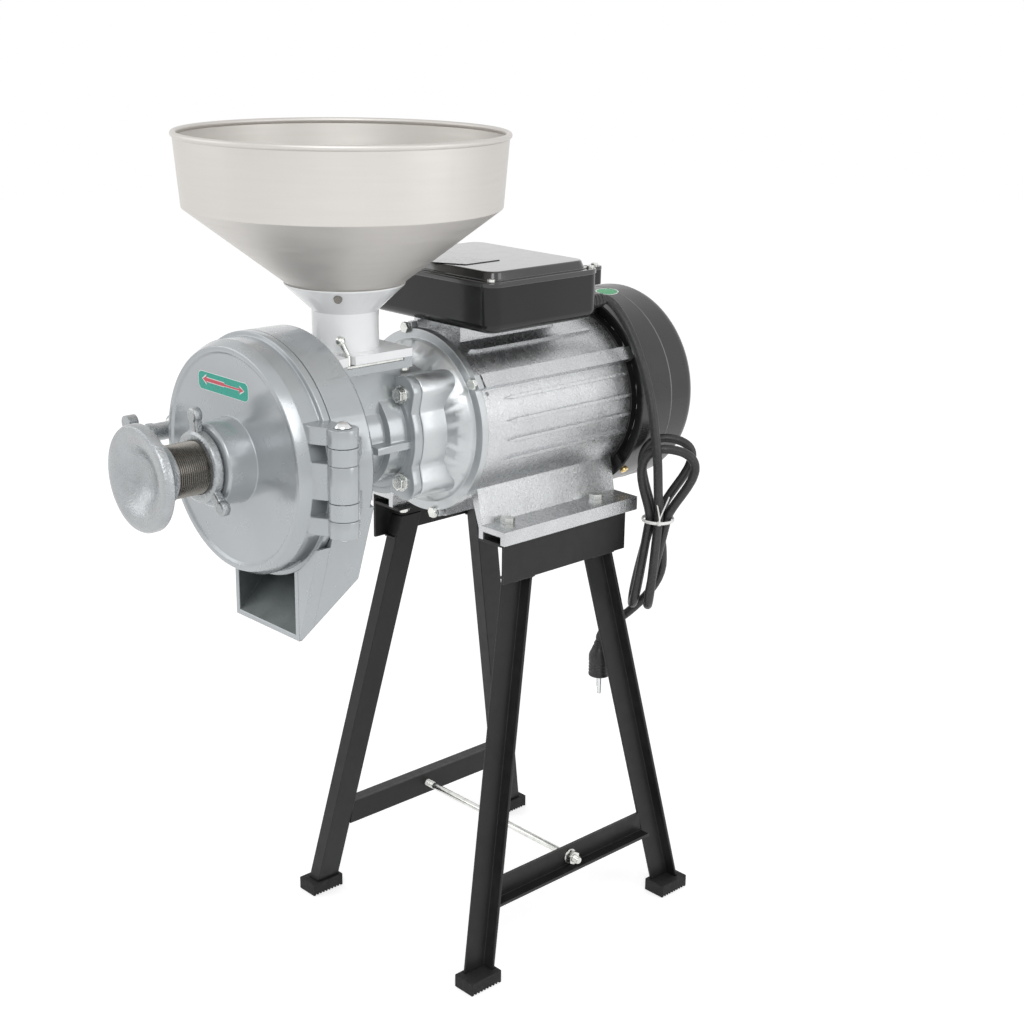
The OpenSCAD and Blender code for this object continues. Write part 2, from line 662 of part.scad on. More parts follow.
module grinding_drum() {
    top = axis_z - 81;
    floor_front = drum_back - (axis_z - 108 - chute_low);
    color("#c2c7c8") difference() {
        union() {
            ycyl(drum_r, drum_front, drum_back - 5);
            ycone(drum_r, drum_r - 5, drum_back - 5 - eps, drum_back);
            yz_prism(chute_x[0], chute_x[1], [[drum_back, top], [drum_back, axis_z - 108], [floor_front, chute_low],
                [chute_front, chute_low], [chute_front, top]]);
            for (k = drum_knuckles) translate([0, 0, axis_z + k[0]]) linear_extrude(k[1] - k[0]) {
                translate([hinge_x, hinge_y]) circle(r = hinge_r);
                polygon([[98, drum_front + 0.3], [drum_r + 2, drum_front + 0.3], [hinge_x - hinge_r + 0.5, hinge_y + 2],
                    [hinge_x, hinge_y], [hinge_x + hinge_r - 1, hinge_y + 6], [drum_r, drum_front + 24],
                    [98, drum_front + 24]]);
            }
            translate([-clamp_x, 0, axis_z]) pinhole(lug_outer, drum_front + 0.3, lug_y);
            span([-clamp_x, drum_front + 0.3, axis_z - lug_outer], [-drum_r + 12, lug_y, axis_z + lug_outer]);
        }
        ycyl(cavity_r, chute_front - 1, drum_floor);
        ycyl(drum_r + 1, chute_front - 1, drum_front);
        ycyl(tube_bore, drum_floor - 1, drum_back + 1);
        yz_prism(chute_x[0] + chute_wall, chute_x[1] - chute_wall,
            chute_side(chute_wall, drum_floor - 0.1, chute_front - 1, top + 1));
        translate([hinge_x, hinge_y, axis_z - 40]) cylinder(r = pin_r + run_gap, h = 80);
        translate([-clamp_x, 0, axis_z]) pinhole(stud_r + 1, drum_front - 5, lug_y + 1);
        for (a = drum_screw_angles) around(drum_screw_r, a) pinhole(2.8, drum_floor - 1, drum_back + 1);
        for (a = drum_screw_angles) around(drum_screw_r, a) pinhole(4.8, drum_floor - 1, drum_floor + 4);
        for (a = [90, 270]) around(63, a) pinhole(3 + run_gap, drum_floor - 1, drum_floor + 9);
    }
}

module drum_screws() {
    color("#9ea1a3") for (a = drum_screw_angles) around(drum_screw_r, a) {
        pinhole(4.5, drum_floor + 0.3, drum_floor + 4);
        pinhole(2.5, drum_floor + 4 - eps, drum_back + 13);
    }
}

stone_t = 15;
fixed_y = [drum_floor - 0.2 - stone_t, drum_floor - 0.2];
moving_y = [fixed_y[0] - stone_gap - stone_t, fixed_y[0] - stone_gap];

module fixed_stone() {
    color("#b9b1a2") difference() {
        yring(stone_r, 40, fixed_y[0], fixed_y[1]);
        for (a = [90, 270]) around(63, a) {
            pinhole(3.3, fixed_y[0] - 1, fixed_y[1] + 1);
            pinhole(6.3, fixed_y[0] - 1, fixed_y[0] + 5);
        }
    }
}

module stone_screws() {
    color("#9ea1a3") for (a = [90, 270]) around(63, a) {
        pinhole(6, fixed_y[0] + 0.6, fixed_y[0] + 5);
        pinhole(3, fixed_y[0] + 5 - eps, drum_floor + 8);
    }
}

auger_back = seal_y[0] - 2.2;
auger_end = drum_back + 1;
collar_end = fixed_y[0] - 1.8;
spindle_r = 19.7;
spindle_tip = moving_y[0] - 22.8;
flight_r = tube_bore - 1;
flight_pitch = 40;
flight_step = 15;

// One section of the auger's flight, on turn angle a
function flight_ring(a) = let (y = auger_back - 3 - flight_pitch * a / 360)
    [for (p = [[14, -1.5], [flight_r, -1], [flight_r, 1], [14, 1.5]]) [p[0] * cos(a), y + p[1], axis_z + p[0] * sin(a)]];

// Triangles that join n rings of s points into a closed skin
function skin(n, s) = concat([[for (k = [0:s - 1]) k]], [[for (k = [s - 1:-1:0]) (n - 1) * s + k]],
    [for (i = [0:n - 2], k = [0:s - 1], h = [0, 1]) let (a = i * s + k, b = i * s + (k + 1) % s)
        h == 0 ? [a, a + s, b + s] : [a, b + s, b]]);

module auger() {
    turns = floor((auger_back - auger_end - 6) * 360 / flight_pitch / flight_step);
    color("#a8abad") difference() {
        union() {
            ycyl(15, auger_end, auger_back);
            ycyl(flight_r, collar_end, auger_end + eps);
            polyhedron(points = [for (i = [0:turns]) each flight_ring(i * flight_step)], faces = skin(turns + 1, 4));
        }
        ycyl(shaft_r + run_gap, shaft_tip - 4, auger_back + 1);
        span([-3.05, shaft_tip - 4, axis_z], [3.05, auger_back + 1, axis_z + 12.8]);
        ycyl(12, collar_end - 1, collar_end + 18);
    }
}

module grinder_spindle() {
    color("#d5d8da") difference() {
        union() {
            ycyl(12 - run_gap, collar_end - 1, collar_end + 17);
            ycyl(spindle_r, spindle_tip + 12, collar_end - 0.1);
            ycyl(15, spindle_tip, spindle_tip + 12 + eps);
        }
        for (s = [-1, 1]) spoke(90 * s, 7, 11, 5, spindle_tip - 1, spindle_tip + 5);
    }
}

module rotating_stone() {
    color("#b9b1a2") yring(stone_r, 20, moving_y[0], moving_y[1]);
}

module stone_nut() {
    front = moving_y[0] - 11.8;
    color("#26272a") difference() {
        union() {
            ycyl(30, front, moving_y[0] - 0.1);
            for (k = [0:5]) around(28, 60 * k) pinhole(10, front, moving_y[0] - 0.1);
        }
        ycyl(spindle_r + run_gap, front - 1, moving_y[0] + 1);
    }
}

door_cavity = door_face + 8;
boss_r = 39;
boss_front = door_face - 27;
screw_bore = screw_r + run_gap;

module door() {
    color("#c2c7c8") difference() {
        union() {
            yturn([[drum_r - 16, door_back], [drum_r, door_back], [drum_r, hinge_y], [drum_r - 5, hinge_y],
                [drum_r - 5, door_face + 10], [drum_r - 10, door_face], [drum_r - 15, door_face],
                [drum_r - 17, door_face + 2], [boss_r, door_face + 2], [boss_r, boss_front + 2],
                [boss_r - 2, boss_front], [screw_bore, boss_front], [screw_bore, door_cavity],
                [drum_r - 16, door_cavity]]);
            for (k = door_knuckles) translate([0, 0, axis_z + k[0]]) linear_extrude(k[1] - k[0]) {
                translate([hinge_x, hinge_y]) circle(r = hinge_r);
                polygon([[drum_r - 18, door_back], [drum_r + 2, door_back], [hinge_x, hinge_y + 6],
                    [hinge_x, hinge_y - 9], [drum_r - 6, door_face + 10], [drum_r - 18, door_face + 10]]);
            }
            translate([-clamp_x, 0, axis_z]) pinhole(lug_outer, hinge_y - 8, door_back);
            span([-clamp_x, hinge_y - 8, axis_z - lug_outer], [-drum_r + 10, door_back, axis_z + lug_outer]);
        }
        ycyl(drum_r - 16, door_cavity, door_back + 1);
        translate([hinge_x, hinge_y, axis_z - 60]) cylinder(r = pin_r + run_gap, h = 120);
        translate([-clamp_x, 0, axis_z]) pinhole(stud_r + run_gap, hinge_y - 9, door_back + 1);
    }
}

module hinge_pin() {
    top = axis_z + door_knuckles[0][1] + face_gap;
    color("#b0b3b5") translate([hinge_x, hinge_y, 0]) {
        translate([0, 0, axis_z + door_knuckles[2][0] - 3]) cylinder(r = pin_r, h = top - axis_z - door_knuckles[2][0] + 3);
        translate([0, 0, top - eps]) intersection() {
            cylinder(r = 8, h = 6);
            translate([0, 0, -3.3]) sphere(r = 8.6);
        }
    }
}

cup_front = door_cavity - 10;

module thrust_cup() {
    color("#8f9294") difference() {
        ycyl(screw_r - 0.1, cup_front, spindle_tip - face_gap);
        ycone(6, 10, spindle_tip - 4, spindle_tip);
    }
}

nut_back = boss_front - 0.6;
nut_front = nut_back - 13.4;
hub_back = nut_front - 29;
rim_back = hub_back - 18;
rim_front = rim_back - 9;

module adjusting_screw() {
    color("#5c5f62") ycyl(screw_r, hub_back - 10, cup_front - 0.1);
}

// The wheel flares like a trumpet from its hub to its rim, and its mouth is hollow
module handwheel() {
    flare = 20;
    color("#c6c9ca") difference() {
        yturn(concat([[27, hub_back]],
            [for (a = [0:15:90]) [27 + (wheel_r - 27) * (1 - cos(a)), hub_back - (hub_back - rim_back) * sin(a)]],
            [[wheel_r, rim_front + 2], [wheel_r - 2, rim_front], [wheel_r - 7, rim_front],
                [wheel_r - 9, rim_front + 2]],
            [for (a = [90:-15:0]) [flare + (wheel_r - 9 - flare) * (1 - cos(a)), hub_back - 12 - (hub_back - rim_back - 8) * sin(a)]],
            [[0, hub_back - 12], [0, hub_back]]));
        ycyl(screw_bore, hub_back - 10.1, hub_back + 1);
        radial(90, 20, 40, 2.5, hub_back - 5);
    }
}

module lock_nut() {
    color("#b9bcbe") difference() {
        union() {
            ycyl(33, nut_front, nut_back);
            for (a = [95, -42]) {
                spoke(a, 26, 46, 15, nut_front + 1, nut_back - 1);
                around(46, a) pinhole(8, nut_front + 1.5, nut_back - 1.5);
            }
        }
        ycyl(screw_bore, nut_front - 1, nut_back + 1);
    }
}

collar_y = [hinge_y - 10.3, hinge_y - 8.3];
knob_y = [collar_y[0] - 49, collar_y[0] - 0.7];

module clamp_collar() {
    color("#b9bcbe") translate([-clamp_x, 0, axis_z]) difference() {
        pinhole(11, collar_y[0], collar_y[1]);
        pinhole(stud_r + run_gap, collar_y[0] - 1, collar_y[1] + 1);
    }
}

module clamp_knob() {
    color("#a6a9ab") translate([-clamp_x, 0, axis_z]) {
        pinhole(stud_r, knob_y[1] - 20, drum_front + 8.5);
        pinhole(8.5, knob_y[0] + 12, knob_y[1]);
        pinhole(9.5, knob_y[0] + 25, knob_y[0] + 29);
        pinhole(8, knob_y[0], knob_y[0] + 12 + eps);
        for (k = [0:2]) rotate([0, -90 - 120 * k, 0]) {
            span([4, knob_y[0] + 2, -5], [14, knob_y[0] + 10, 5]);
            translate([14, 0, 0]) pinhole(7, knob_y[0] + 1, knob_y[0] + 11);
        }
    }
}

// Outer radius of the hopper's cone at height z
cone_foot_r = 50;
cone_top_r = hopper_r - 5;
function cone_out(z) = cone_foot_r + (z - cone_z) * (cone_top_r - cone_foot_r) / (wall_z - cone_z);
flange_top = throat_z + 8;
flare_z = cone_z + 3;
hopper_low = cone_z - 11;
cone_t = hopper_t * 1.65;
bead_r = 2.6;
hopper_screw_z = cone_z - 5;
// Where the heads of the hopper's screws sit, from the hopper's axis
screw_seat = cone_foot_r - 2;
hopper_screw_angles = [-45, 75, 195];

// A profile of [radius, z] points, turned about the hopper's axis
module hopper_turn(points) {
    translate([0, -hopper_y, 0]) rotate_extrude($fn = 96) polygon(points);
}

// A round hole or pin square to the hopper's axis
module hopper_radial(a, r0, r1, r) {
    translate([0, -hopper_y, hopper_screw_z]) rotate([0, 0, a]) rotate([0, 90, 0]) translate([0, 0, r0])
        cylinder(r = r, h = r1 - r0, $fn = 32);
}

module hopper_base() {
    seat = 0.1;
    color("#eceeee") difference() {
        union() {
            span([-throat_half, throat_span[0], throat_z], [throat_half, throat_span[1], flange_top]);
            hopper_turn([[neck_r, throat_z], [neck_r + 5, throat_z], [neck_r + 5, flange_top + 35],
                [cone_foot_r + 5.6, flare_z - 1.5], [cone_foot_r + 5.9, flare_z], [cone_out(flare_z) + seat, flare_z],
                [cone_out(hopper_low) + seat, hopper_low - 0.1], [cone_out(hopper_low) - 3, hopper_low - 0.1],
                [neck_r, hopper_low - 8]]);
        }
        translate([0, -hopper_y, throat_z - 1]) cylinder(r = neck_r, h = 20);
        span([22, throat_span[0] + 11, throat_z - 1], [throat_half + 1, throat_span[0] + 19, flange_top + 1]);
        for (p = flange_bolt_at) translate([p[0], p[1], throat_z - 1]) cylinder(r = 2.5 + run_gap, h = 6, $fn = 24);
        for (a = hopper_screw_angles) {
            hopper_radial(a, 30, 60, 2.1);
            hopper_radial(a, screw_seat, 70, 4.2);
        }
    }
}

module hopper() {
    color("#d4d7d8") difference() {
        union() {
            hopper_turn([[cone_out(hopper_low) - cone_t, hopper_low], [cone_out(hopper_low), hopper_low],
                [cone_top_r, wall_z], [hopper_r, rim_z - bead_r], [hopper_r - hopper_t, rim_z - bead_r],
                [cone_top_r - hopper_t, wall_z + 0.6]]);
            translate([0, -hopper_y, rim_z - bead_r]) rotate_extrude($fn = 96) translate([hopper_r - 0.6, 0])
                circle(r = bead_r, $fn = 24);
        }
        for (a = hopper_screw_angles) hopper_radial(a, 30, 60, 2.1);
    }
}

module hopper_screws() {
    color("#3a3c3e") for (a = hopper_screw_angles) {
        hopper_radial(a, 38, screw_seat + 1, 2);
        hopper_radial(a, screw_seat, screw_seat + 2.4, 3.8);
    }
}

module flange_bolts() {
    color("#8f9294") for (p = flange_bolt_at) translate([p[0], p[1], throat_z - 10]) {
        translate([0, 0, -3.6]) cylinder(r = 8 / sqrt(3), h = 3.6, $fn = 6);
        translate([0, 0, -eps]) cylinder(r = 2.5, h = 14, $fn = 24);
    }
}

gate_x = [-28, throat_half - 1];
handle_y = throat_span[0] + 15;

module feed_gate() {
    color("#c0c3c5") {
        span([gate_x[0], -hopper_y - gate_half, gate_z], [gate_x[1], -hopper_y + gate_half, gate_z + gate_t]);
        translate([gate_x[1] - 5, handle_y, gate_z + gate_t - eps]) cylinder(r = 2.6, h = 9.5, $fn = 32);
        translate([gate_x[1] - 5, handle_y, gate_z + gate_t + 9]) rotate([14, -24, 0]) {
            cylinder(r = 2.6, h = 13, $fn = 32);
            translate([0, 0, 15]) sphere(r = 4.6, $fn = 40);
        }
    }
}

// The hank hangs behind the foot rail, with its waist at hank_at; its own axes are across, away and up
hank_at = [119, 115.5, bar_top - 10];
hank_across = [0.69, 0.72, 0] / norm([0.69, 0.72]);
hank_away = [-hank_across[1], hank_across[0], 0];
up = [0, 0, 1];
loop_rings = 24;
cord_end = 2 * cord_r;
narrow_side = 0.6;
// Each loop goes from strand to strand: start angle, end angle, height, half width across and away,
// drift across and away, and how much higher its end is than its start
hank_loops = [[-90, -18, -92, 0, -24, -12, 0, 0], [-18, 198, 78, 44, 0, 3, -8, 0],
    [198, 126, -95, 0, -22, -16, 4, 0], [126, 54, 78, -44, 0, 3, 7, cord_end]];

function strand_at(a) = hank_at + waist_r * (cos(a) * hank_across + sin(a) * hank_away);
function eased(t) = t * t * (3 - 2 * t);
function loop_point(s, t) = let (a = 360 * t, h = pow(sin(a / 2), 2), swing = sin(a) * h, across = s[3] * swing)
    strand_at(s[0]) * (1 - eased(t)) + strand_at(s[1]) * eased(t)
    + (across * (across < 0 ? narrow_side : 1) + s[5] * h) * hank_across
    + (s[4] * swing + s[6] * h) * hank_away + (s[2] * h + s[7] * eased(t)) * up;

hank_start = strand_at(hank_loops[0][0]) + cord_end * up;
hank_end = strand_at(hank_loops[3][1]);
hank_route = concat([hank_start], [for (s = hank_loops, i = [0:loop_rings - 1]) loop_point(s, i / loop_rings)],
    [hank_end + cord_end * up, hank_end]);
lead_route = concat([[gland_x, gland_tip, gland_z], [gland_x, gland_tip + 5, gland_z]],
    [[70, 87, 660], [78, 93, 648], [89, 97, 630], [101, 99, 606], [111, 100, 581], [120, 99, 556], [127, 97, 531],
        [132, 96, 508], [133, 97, 487], [130, 102, 467]], [hank_start + 5 * up, hank_start]);
plug_at = [62, 95, 250];
plug_h = 40;
tail_route = concat([hank_end, hank_end - 5 * up],
    [[113, 129, 412], [112, 133, 395], [109, 135, 372], [100, 130, 350], [88, 118, 330], [76, 106, 315],
        [66, 98, 303]], [plug_at + (plug_h + 5) * up, plug_at + plug_h * up]);

function unit(v) = v / norm(v);
function headings(p) = [for (i = [0:len(p) - 1]) unit(p[min(i + 1, len(p) - 1)] - p[max(i - 1, 0)])];
function normals(t) = [for (i = 0, n = unit(cross(t[0], [1, 2, 0.5])); i < len(t);
    i = i + 1, n = i < len(t) ? unit(n - (n * t[i]) * t[i]) : n) n];

// A tube of radius r with flat ends along the points p
module tube(p, r, sides) {
    t = headings(p);
    n = normals(t);
    polyhedron(points = [for (i = [0:len(p) - 1], k = [0:sides - 1]) let (a = 360 * k / sides)
        p[i] + r * (cos(a) * n[i] + sin(a) * cross(t[i], n[i]))], faces = skin(len(p), sides));
}

// Least distance between parts of the hank that are over 30 mm apart along it, less the cord's thickness
function least_gap(p) = let (fine = [for (i = [0:len(p) - 2], k = [0:2]) p[i] + (p[i + 1] - p[i]) * k / 3])
    min([for (i = [0:len(fine) - 1]) let (far = [for (j = [i + 14:1:len(fine) - 1]) norm(fine[j] - fine[i])])
        if (len(far) > 0) min(far)]) - 2 * cord_r;

module cord_lead() { color("#1d1e20") tube(lead_route, cord_r, 8); }
module cord_tail() { color("#1d1e20") tube(tail_route, cord_r, 8); }
module cord_hank() {
    echo(hank_least_gap = least_gap(hank_route));
    color("#1d1e20") tube(hank_route, cord_r, 6);
}

module hank_tie() {
    inner = waist_r + cord_r + 1.8;
    color("#f0f0ee") translate(hank_at) {
        rotate_extrude() translate([inner, -1.5]) square([1.4, 3]);
        rotate([0, 0, -44]) translate([inner + 0.7, 0, 0]) sphere(r = 2.6, $fn = 32);
        rotate([0, 0, -44]) translate([inner + 0.7, 0, 0]) rotate([-16, 0, 0]) span([-0.5, -1, 0], [0.5, 1, 30]);
    }
}

module plug() {
    color("#1c1d1f") translate(plug_at) {
        cylinder(r = 12, h = 24);
        translate([0, 0, 24 - eps]) cylinder(r1 = 12, r2 = 8, h = 10);
        translate([0, 0, 34 - 2 * eps]) cylinder(r = 7, h = plug_h - 34 + 2 * eps);
        for (s = [-9.5, 9.5]) translate([s * hank_away[0], s * hank_away[1], -18]) cylinder(r = 2.4, h = 18 + eps, $fn = 24);
    }
}

top_bars();
leg_front_right();
leg_rear_right();
leg_front_left();
leg_rear_left();
crossbars();
tie_rod();
tie_rod_nuts();
rubber_feet();
foot_bolts();
motor_frame();
front_end_bell();
rear_end_bell();
tie_bolts();
stator_core();
windings();
rotor_core();
motor_shaft();
drive_key();
front_bearing();
rear_bearing();
cooling_fan();
fan_cover();
fan_cover_screws();
control_box();
control_box_lid();
lid_screws();
start_capacitor();
run_capacitor();
terminal_block();
cable_gland();
feed_housing();
housing_bolts();
shaft_seal();
grinding_drum();
drum_screws();
fixed_stone();
stone_screws();
auger();
grinder_spindle();
rotating_stone();
stone_nut();
door();
hinge_pin();
thrust_cup();
adjusting_screw();
handwheel();
lock_nut();
clamp_collar();
clamp_knob();
hopper_base();
hopper();
hopper_screws();
flange_bolts();
feed_gate();
cord_lead();
cord_hank();
cord_tail();
hank_tie();
plug();
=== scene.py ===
"""Looks of an electric grain mill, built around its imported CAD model.

Lengths are metres in the CAD frame: +Z up, the grinding head faces -Y, and the door's hinge
and the cord are on +X. Each sub-assembly is a class that dresses its CAD nodes and adds the
detail that the CAD model leaves to the looks.
"""

from __future__ import annotations

import logging
import math
from collections.abc import Iterable, Sequence
from dataclasses import dataclass, field
from enum import Enum

import bmesh
import bpy
from mathutils import Matrix, Vector

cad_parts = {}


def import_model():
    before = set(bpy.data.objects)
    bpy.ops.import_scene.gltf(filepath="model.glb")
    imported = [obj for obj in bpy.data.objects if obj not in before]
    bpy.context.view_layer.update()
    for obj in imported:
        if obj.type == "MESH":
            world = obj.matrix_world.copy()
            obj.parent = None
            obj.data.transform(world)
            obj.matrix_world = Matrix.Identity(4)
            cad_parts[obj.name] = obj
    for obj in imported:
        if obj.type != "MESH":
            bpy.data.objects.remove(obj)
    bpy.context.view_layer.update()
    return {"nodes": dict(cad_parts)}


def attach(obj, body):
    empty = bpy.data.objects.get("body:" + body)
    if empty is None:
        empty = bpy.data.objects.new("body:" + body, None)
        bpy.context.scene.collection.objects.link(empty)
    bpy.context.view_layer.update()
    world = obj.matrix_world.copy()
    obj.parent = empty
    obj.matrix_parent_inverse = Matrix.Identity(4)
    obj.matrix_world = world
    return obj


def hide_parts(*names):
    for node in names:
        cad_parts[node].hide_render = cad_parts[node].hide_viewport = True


LOG = logging.getLogger("grain_mill")
MM = 0.001
AXIS_Z = 556 * MM
SAME_POINT = 2e-7
SAME_CAD_POINT = 2e-6
SMOOTH_ANGLE = 35.0
Colour = tuple[float, float, float]


class Body(Enum):
    """Names of the CAD bodies that pieces ride on."""

    MILL = "mill"
    GRINDER = "grinder"
    DOOR = "door_leaf"
    WHEEL = "wheel"
    LOCK_NUT = "locknut"
    CLAMP_COLLAR = "clamp_washer"
    CLAMP = "clamp"
    GATE = "gate"


class Grain(Enum):
    """How a finish's bump is laid."""

    FINE = "fine"
    HAMMERED = "hammered"
    BRUSHED = "brushed"


def grey(value: float) -> Colour:
    """Returns a neutral colour of the given linear value."""
    return (value, value, value)


@dataclass(frozen=True)
class Finish:
    """One surface finish, made as a node-based material.

    The colour wanders between two tones in soft patches, small flecks darken it, and the roughness and the
    bump follow noise at the finish's own scale. Edge mixes the edges towards a lighter edge colour as a painted
    highlight. Soft is how far its edges look rounded, in millimetres, and swell is the broad unevenness of a
    casting or a pressing.
    """

    name: str
    colour: Colour
    metallic: float = 0.0
    roughness: float = 0.5
    tone: float = 0.12
    patch: float = 30.0
    rough_spread: float = 0.12
    bump: float = 0.15
    bump_scale: float = 900.0
    bump_depth: float = 0.0002
    grain: Grain = Grain.FINE
    flecks: float = 0.0
    fleck_scale: float = 1500.0
    fleck_colour: Colour = (0.02, 0.02, 0.02)
    coat: float = 0.0
    # edge, its colour and its width lay a painted highlight: the edges are mixed towards a lighter colour
    edge: float = 0.0
    edge_highlight_colour: Colour = (0.6, 0.6, 0.6)
    edge_width: float = 0.0012
    stretch: tuple[float, float, float] = (1.0, 1.0, 1.0)
    soft: float = 0.0
    swell: float = 0.0
    swell_scale: float = 55.0
    specular: float = 0.5
    coat_roughness: float = 0.12

    def material(self) -> bpy.types.Material:
        """Returns the finish's material, made once and then shared."""
        name = f"look_{self.name}"
        found = bpy.data.materials.get(name)
        if found is not None:
            return found
        made = bpy.data.materials.new(name)
        made.use_nodes = True
        FinishNodes(made, self).build()
        return made


class FinishNodes:
    """Builds the node tree of a Finish."""

    def __init__(self, material: bpy.types.Material, finish: Finish) -> None:
        """Keeps the material's tree and its Principled shader.

        Args:
            material: The material to fill.
            finish: The finish that it shows.
        """
        self.tree = material.node_tree
        self.finish = finish
        self.shader = self.tree.nodes["Principled BSDF"]
        self.place = self.tree.nodes.new("ShaderNodeTexCoord").outputs["Object"]

    def link(self, start: bpy.types.NodeSocket, end: bpy.types.NodeSocket) -> None:
        """Joins two sockets."""
        self.tree.links.new(start, end)

    def noise(self, scale: float, detail: float = 3.0, stretched: bool = False) -> bpy.types.NodeSocket:
        """Adds a noise texture and returns its value.

        Args:
            scale: Cells per metre.
            detail: Octaves of finer noise.
            stretched: Whether the finish's stretch is applied to it.

        Returns:
            The value socket, about 0.3 to 0.7.
        """
        texture = self.tree.nodes.new("ShaderNodeTexNoise")
        texture.inputs["Scale"].default_value = scale
        texture.inputs["Detail"].default_value = detail
        place = self.place
        if stretched:
            mapping = self.tree.nodes.new("ShaderNodeMapping")
            mapping.inputs["Scale"].default_value = self.finish.stretch
            self.link(place, mapping.inputs["Vector"])
            place = mapping.outputs["Vector"]
        self.link(place, texture.inputs["Vector"])
        return texture.outputs["Fac"]

    def spread(self, value: bpy.types.NodeSocket, low: float, high: float,
               start: float = 0.3, end: float = 0.7) -> bpy.types.NodeSocket:
        """Maps a value from start..end to low..high, clamped."""
        node = self.tree.nodes.new("ShaderNodeMapRange")
        for name, number in (("From Min", start), ("From Max", end), ("To Min", low), ("To Max", high)):
            node.inputs[name].default_value = number
        self.link(value, node.inputs["Value"])
        return node.outputs["Result"]

    def mix(self, factor: bpy.types.NodeSocket, first: bpy.types.NodeSocket | Colour,
            second: bpy.types.NodeSocket | Colour) -> bpy.types.NodeSocket:
        """Mixes two colours by a factor and returns the result."""
        node = self.tree.nodes.new("ShaderNodeMix")
        node.data_type = "RGBA"
        self.link(factor, node.inputs["Factor"])
        for socket, colour in ((node.inputs[6], first), (node.inputs[7], second)):
            if isinstance(colour, bpy.types.NodeSocket):
                self.link(colour, socket)
            else:
                socket.default_value = (*colour, 1.0)
        return node.outputs[2]

    def tones(self) -> bpy.types.NodeSocket:
        """Returns the base colour, wandering between two tones, with flecks and a painted highlight on the edges."""
        finish = self.finish
        dark = tuple(channel * (1 - finish.tone) for channel in finish.colour)
        light = tuple(min(1.0, channel * (1 + finish.tone)) for channel in finish.colour)
        colour = self.mix(self.spread(self.noise(finish.patch), 0, 1), dark, light)
        if finish.flecks:
            fleck = self.spread(self.noise(finish.fleck_scale, 2.0), 0, finish.flecks, 0.55, 0.68)
            colour = self.mix(fleck, colour, finish.fleck_colour)
        # painted highlight: the edges are mixed towards the lighter edge colour
        if finish.edge:
            colour = self.mix(self.painted_edge_highlight(), colour, finish.edge_highlight_colour)
        return colour

    def rounded_normal(self, radius: float) -> bpy.types.NodeSocket:
        """Returns the normal as it would be with edges of this radius, in metres."""
        rounded = self.tree.nodes.new("ShaderNodeBevel")
        rounded.samples = 4
        rounded.inputs["Radius"].default_value = radius
        return rounded.outputs["Normal"]

    def painted_edge_highlight(self) -> bpy.types.NodeSocket:
        """Returns the strength of the painted highlight on an edge, from the turn between its normal and a rounded
        one.
        """
        rounded = self.rounded_normal(self.finish.edge_width)
        flat = self.tree.nodes.new("ShaderNodeNewGeometry")
        dot = self.tree.nodes.new("ShaderNodeVectorMath")
        dot.operation = "DOT_PRODUCT"
        self.link(rounded, dot.inputs[0])
        self.link(flat.outputs["Normal"], dot.inputs[1])
        return self.spread(dot.outputs["Value"], self.finish.edge, 0.0, 0.8, 0.985)

    def height(self) -> bpy.types.NodeSocket:
        """Returns the bump's height for the finish's grain."""
        finish = self.finish
        if finish.grain is Grain.HAMMERED:
            cells = self.tree.nodes.new("ShaderNodeTexVoronoi")
            cells.feature = "SMOOTH_F1"
            cells.inputs["Scale"].default_value = finish.bump_scale
            self.link(self.place, cells.inputs["Vector"])
            value = cells.outputs["Distance"]
        else:
            value = self.noise(finish.bump_scale, 4.0, finish.grain is Grain.BRUSHED)
        if finish.swell:
            total = self.tree.nodes.new("ShaderNodeMath")
            total.operation = "MULTIPLY_ADD"
            self.link(self.noise(finish.swell_scale, 1.0), total.inputs[0])
            total.inputs[1].default_value = finish.swell
            self.link(value, total.inputs[2])
            value = total.outputs[0]
        return value

    def build(self) -> None:
        """Joins colour, roughness and bump to the shader."""
        finish = self.finish
        self.link(self.tones(), self.shader.inputs["Base Color"])
        self.shader.inputs["Metallic"].default_value = finish.metallic
        self.shader.inputs["Coat Weight"].default_value = finish.coat
        self.shader.inputs["Coat Roughness"].default_value = finish.coat_roughness
        self.shader.inputs["Specular IOR Level"].default_value = finish.specular
        low = max(0.02, finish.roughness - finish.rough_spread)
        high = min(1.0, finish.roughness + finish.rough_spread)
        stretched = finish.grain is Grain.BRUSHED
        self.link(self.spread(self.noise(finish.patch * 4, 4.0, stretched), low, high),
                  self.shader.inputs["Roughness"])
        bump = self.tree.nodes.new("ShaderNodeBump")
        bump.inputs["Strength"].default_value = finish.bump
        bump.inputs["Distance"].default_value = finish.bump_depth
        self.link(self.height(), bump.inputs["Height"])
        if finish.soft:
            self.link(self.rounded_normal(finish.soft * MM), bump.inputs["Normal"])
        self.link(bump.outputs["Normal"], self.shader.inputs["Normal"])


# the lighter edge colour is a painted highlight along the black coat's edges
BLACK_COAT = Finish("black_powder_coat", grey(0.011), roughness=0.42, tone=0.2, patch=25, rough_spread=0.08, bump=0.3,
                    bump_scale=1300, bump_depth=0.0001, flecks=0.2, fleck_colour=grey(0.03), edge=0.5,
                    edge_highlight_colour=grey(0.13), edge_width=0.0009, soft=0.5, specular=0.32)
ZINC = Finish("zinc_plate", (0.70, 0.71, 0.68), metallic=1.0, roughness=0.24, tone=0.14, patch=140, rough_spread=0.1,
              bump=0.12, bump_scale=1200, soft=0.4)
FOOT_RUBBER = Finish("foot_rubber", grey(0.014), roughness=0.72, tone=0.25, patch=80, bump=0.3, bump_scale=1800,
                     soft=0.6, specular=0.3)
HAMMERED = Finish("hammered_silver_paint", (0.57, 0.58, 0.59), metallic=0.9, roughness=0.26, tone=0.05, patch=30,
                  rough_spread=0.07, bump=0.85, bump_scale=850, bump_depth=0.00042, flecks=0.45, fleck_scale=1250,
                  fleck_colour=(0.16, 0.17, 0.18), coat=0.15, soft=0.8, swell=0.35)
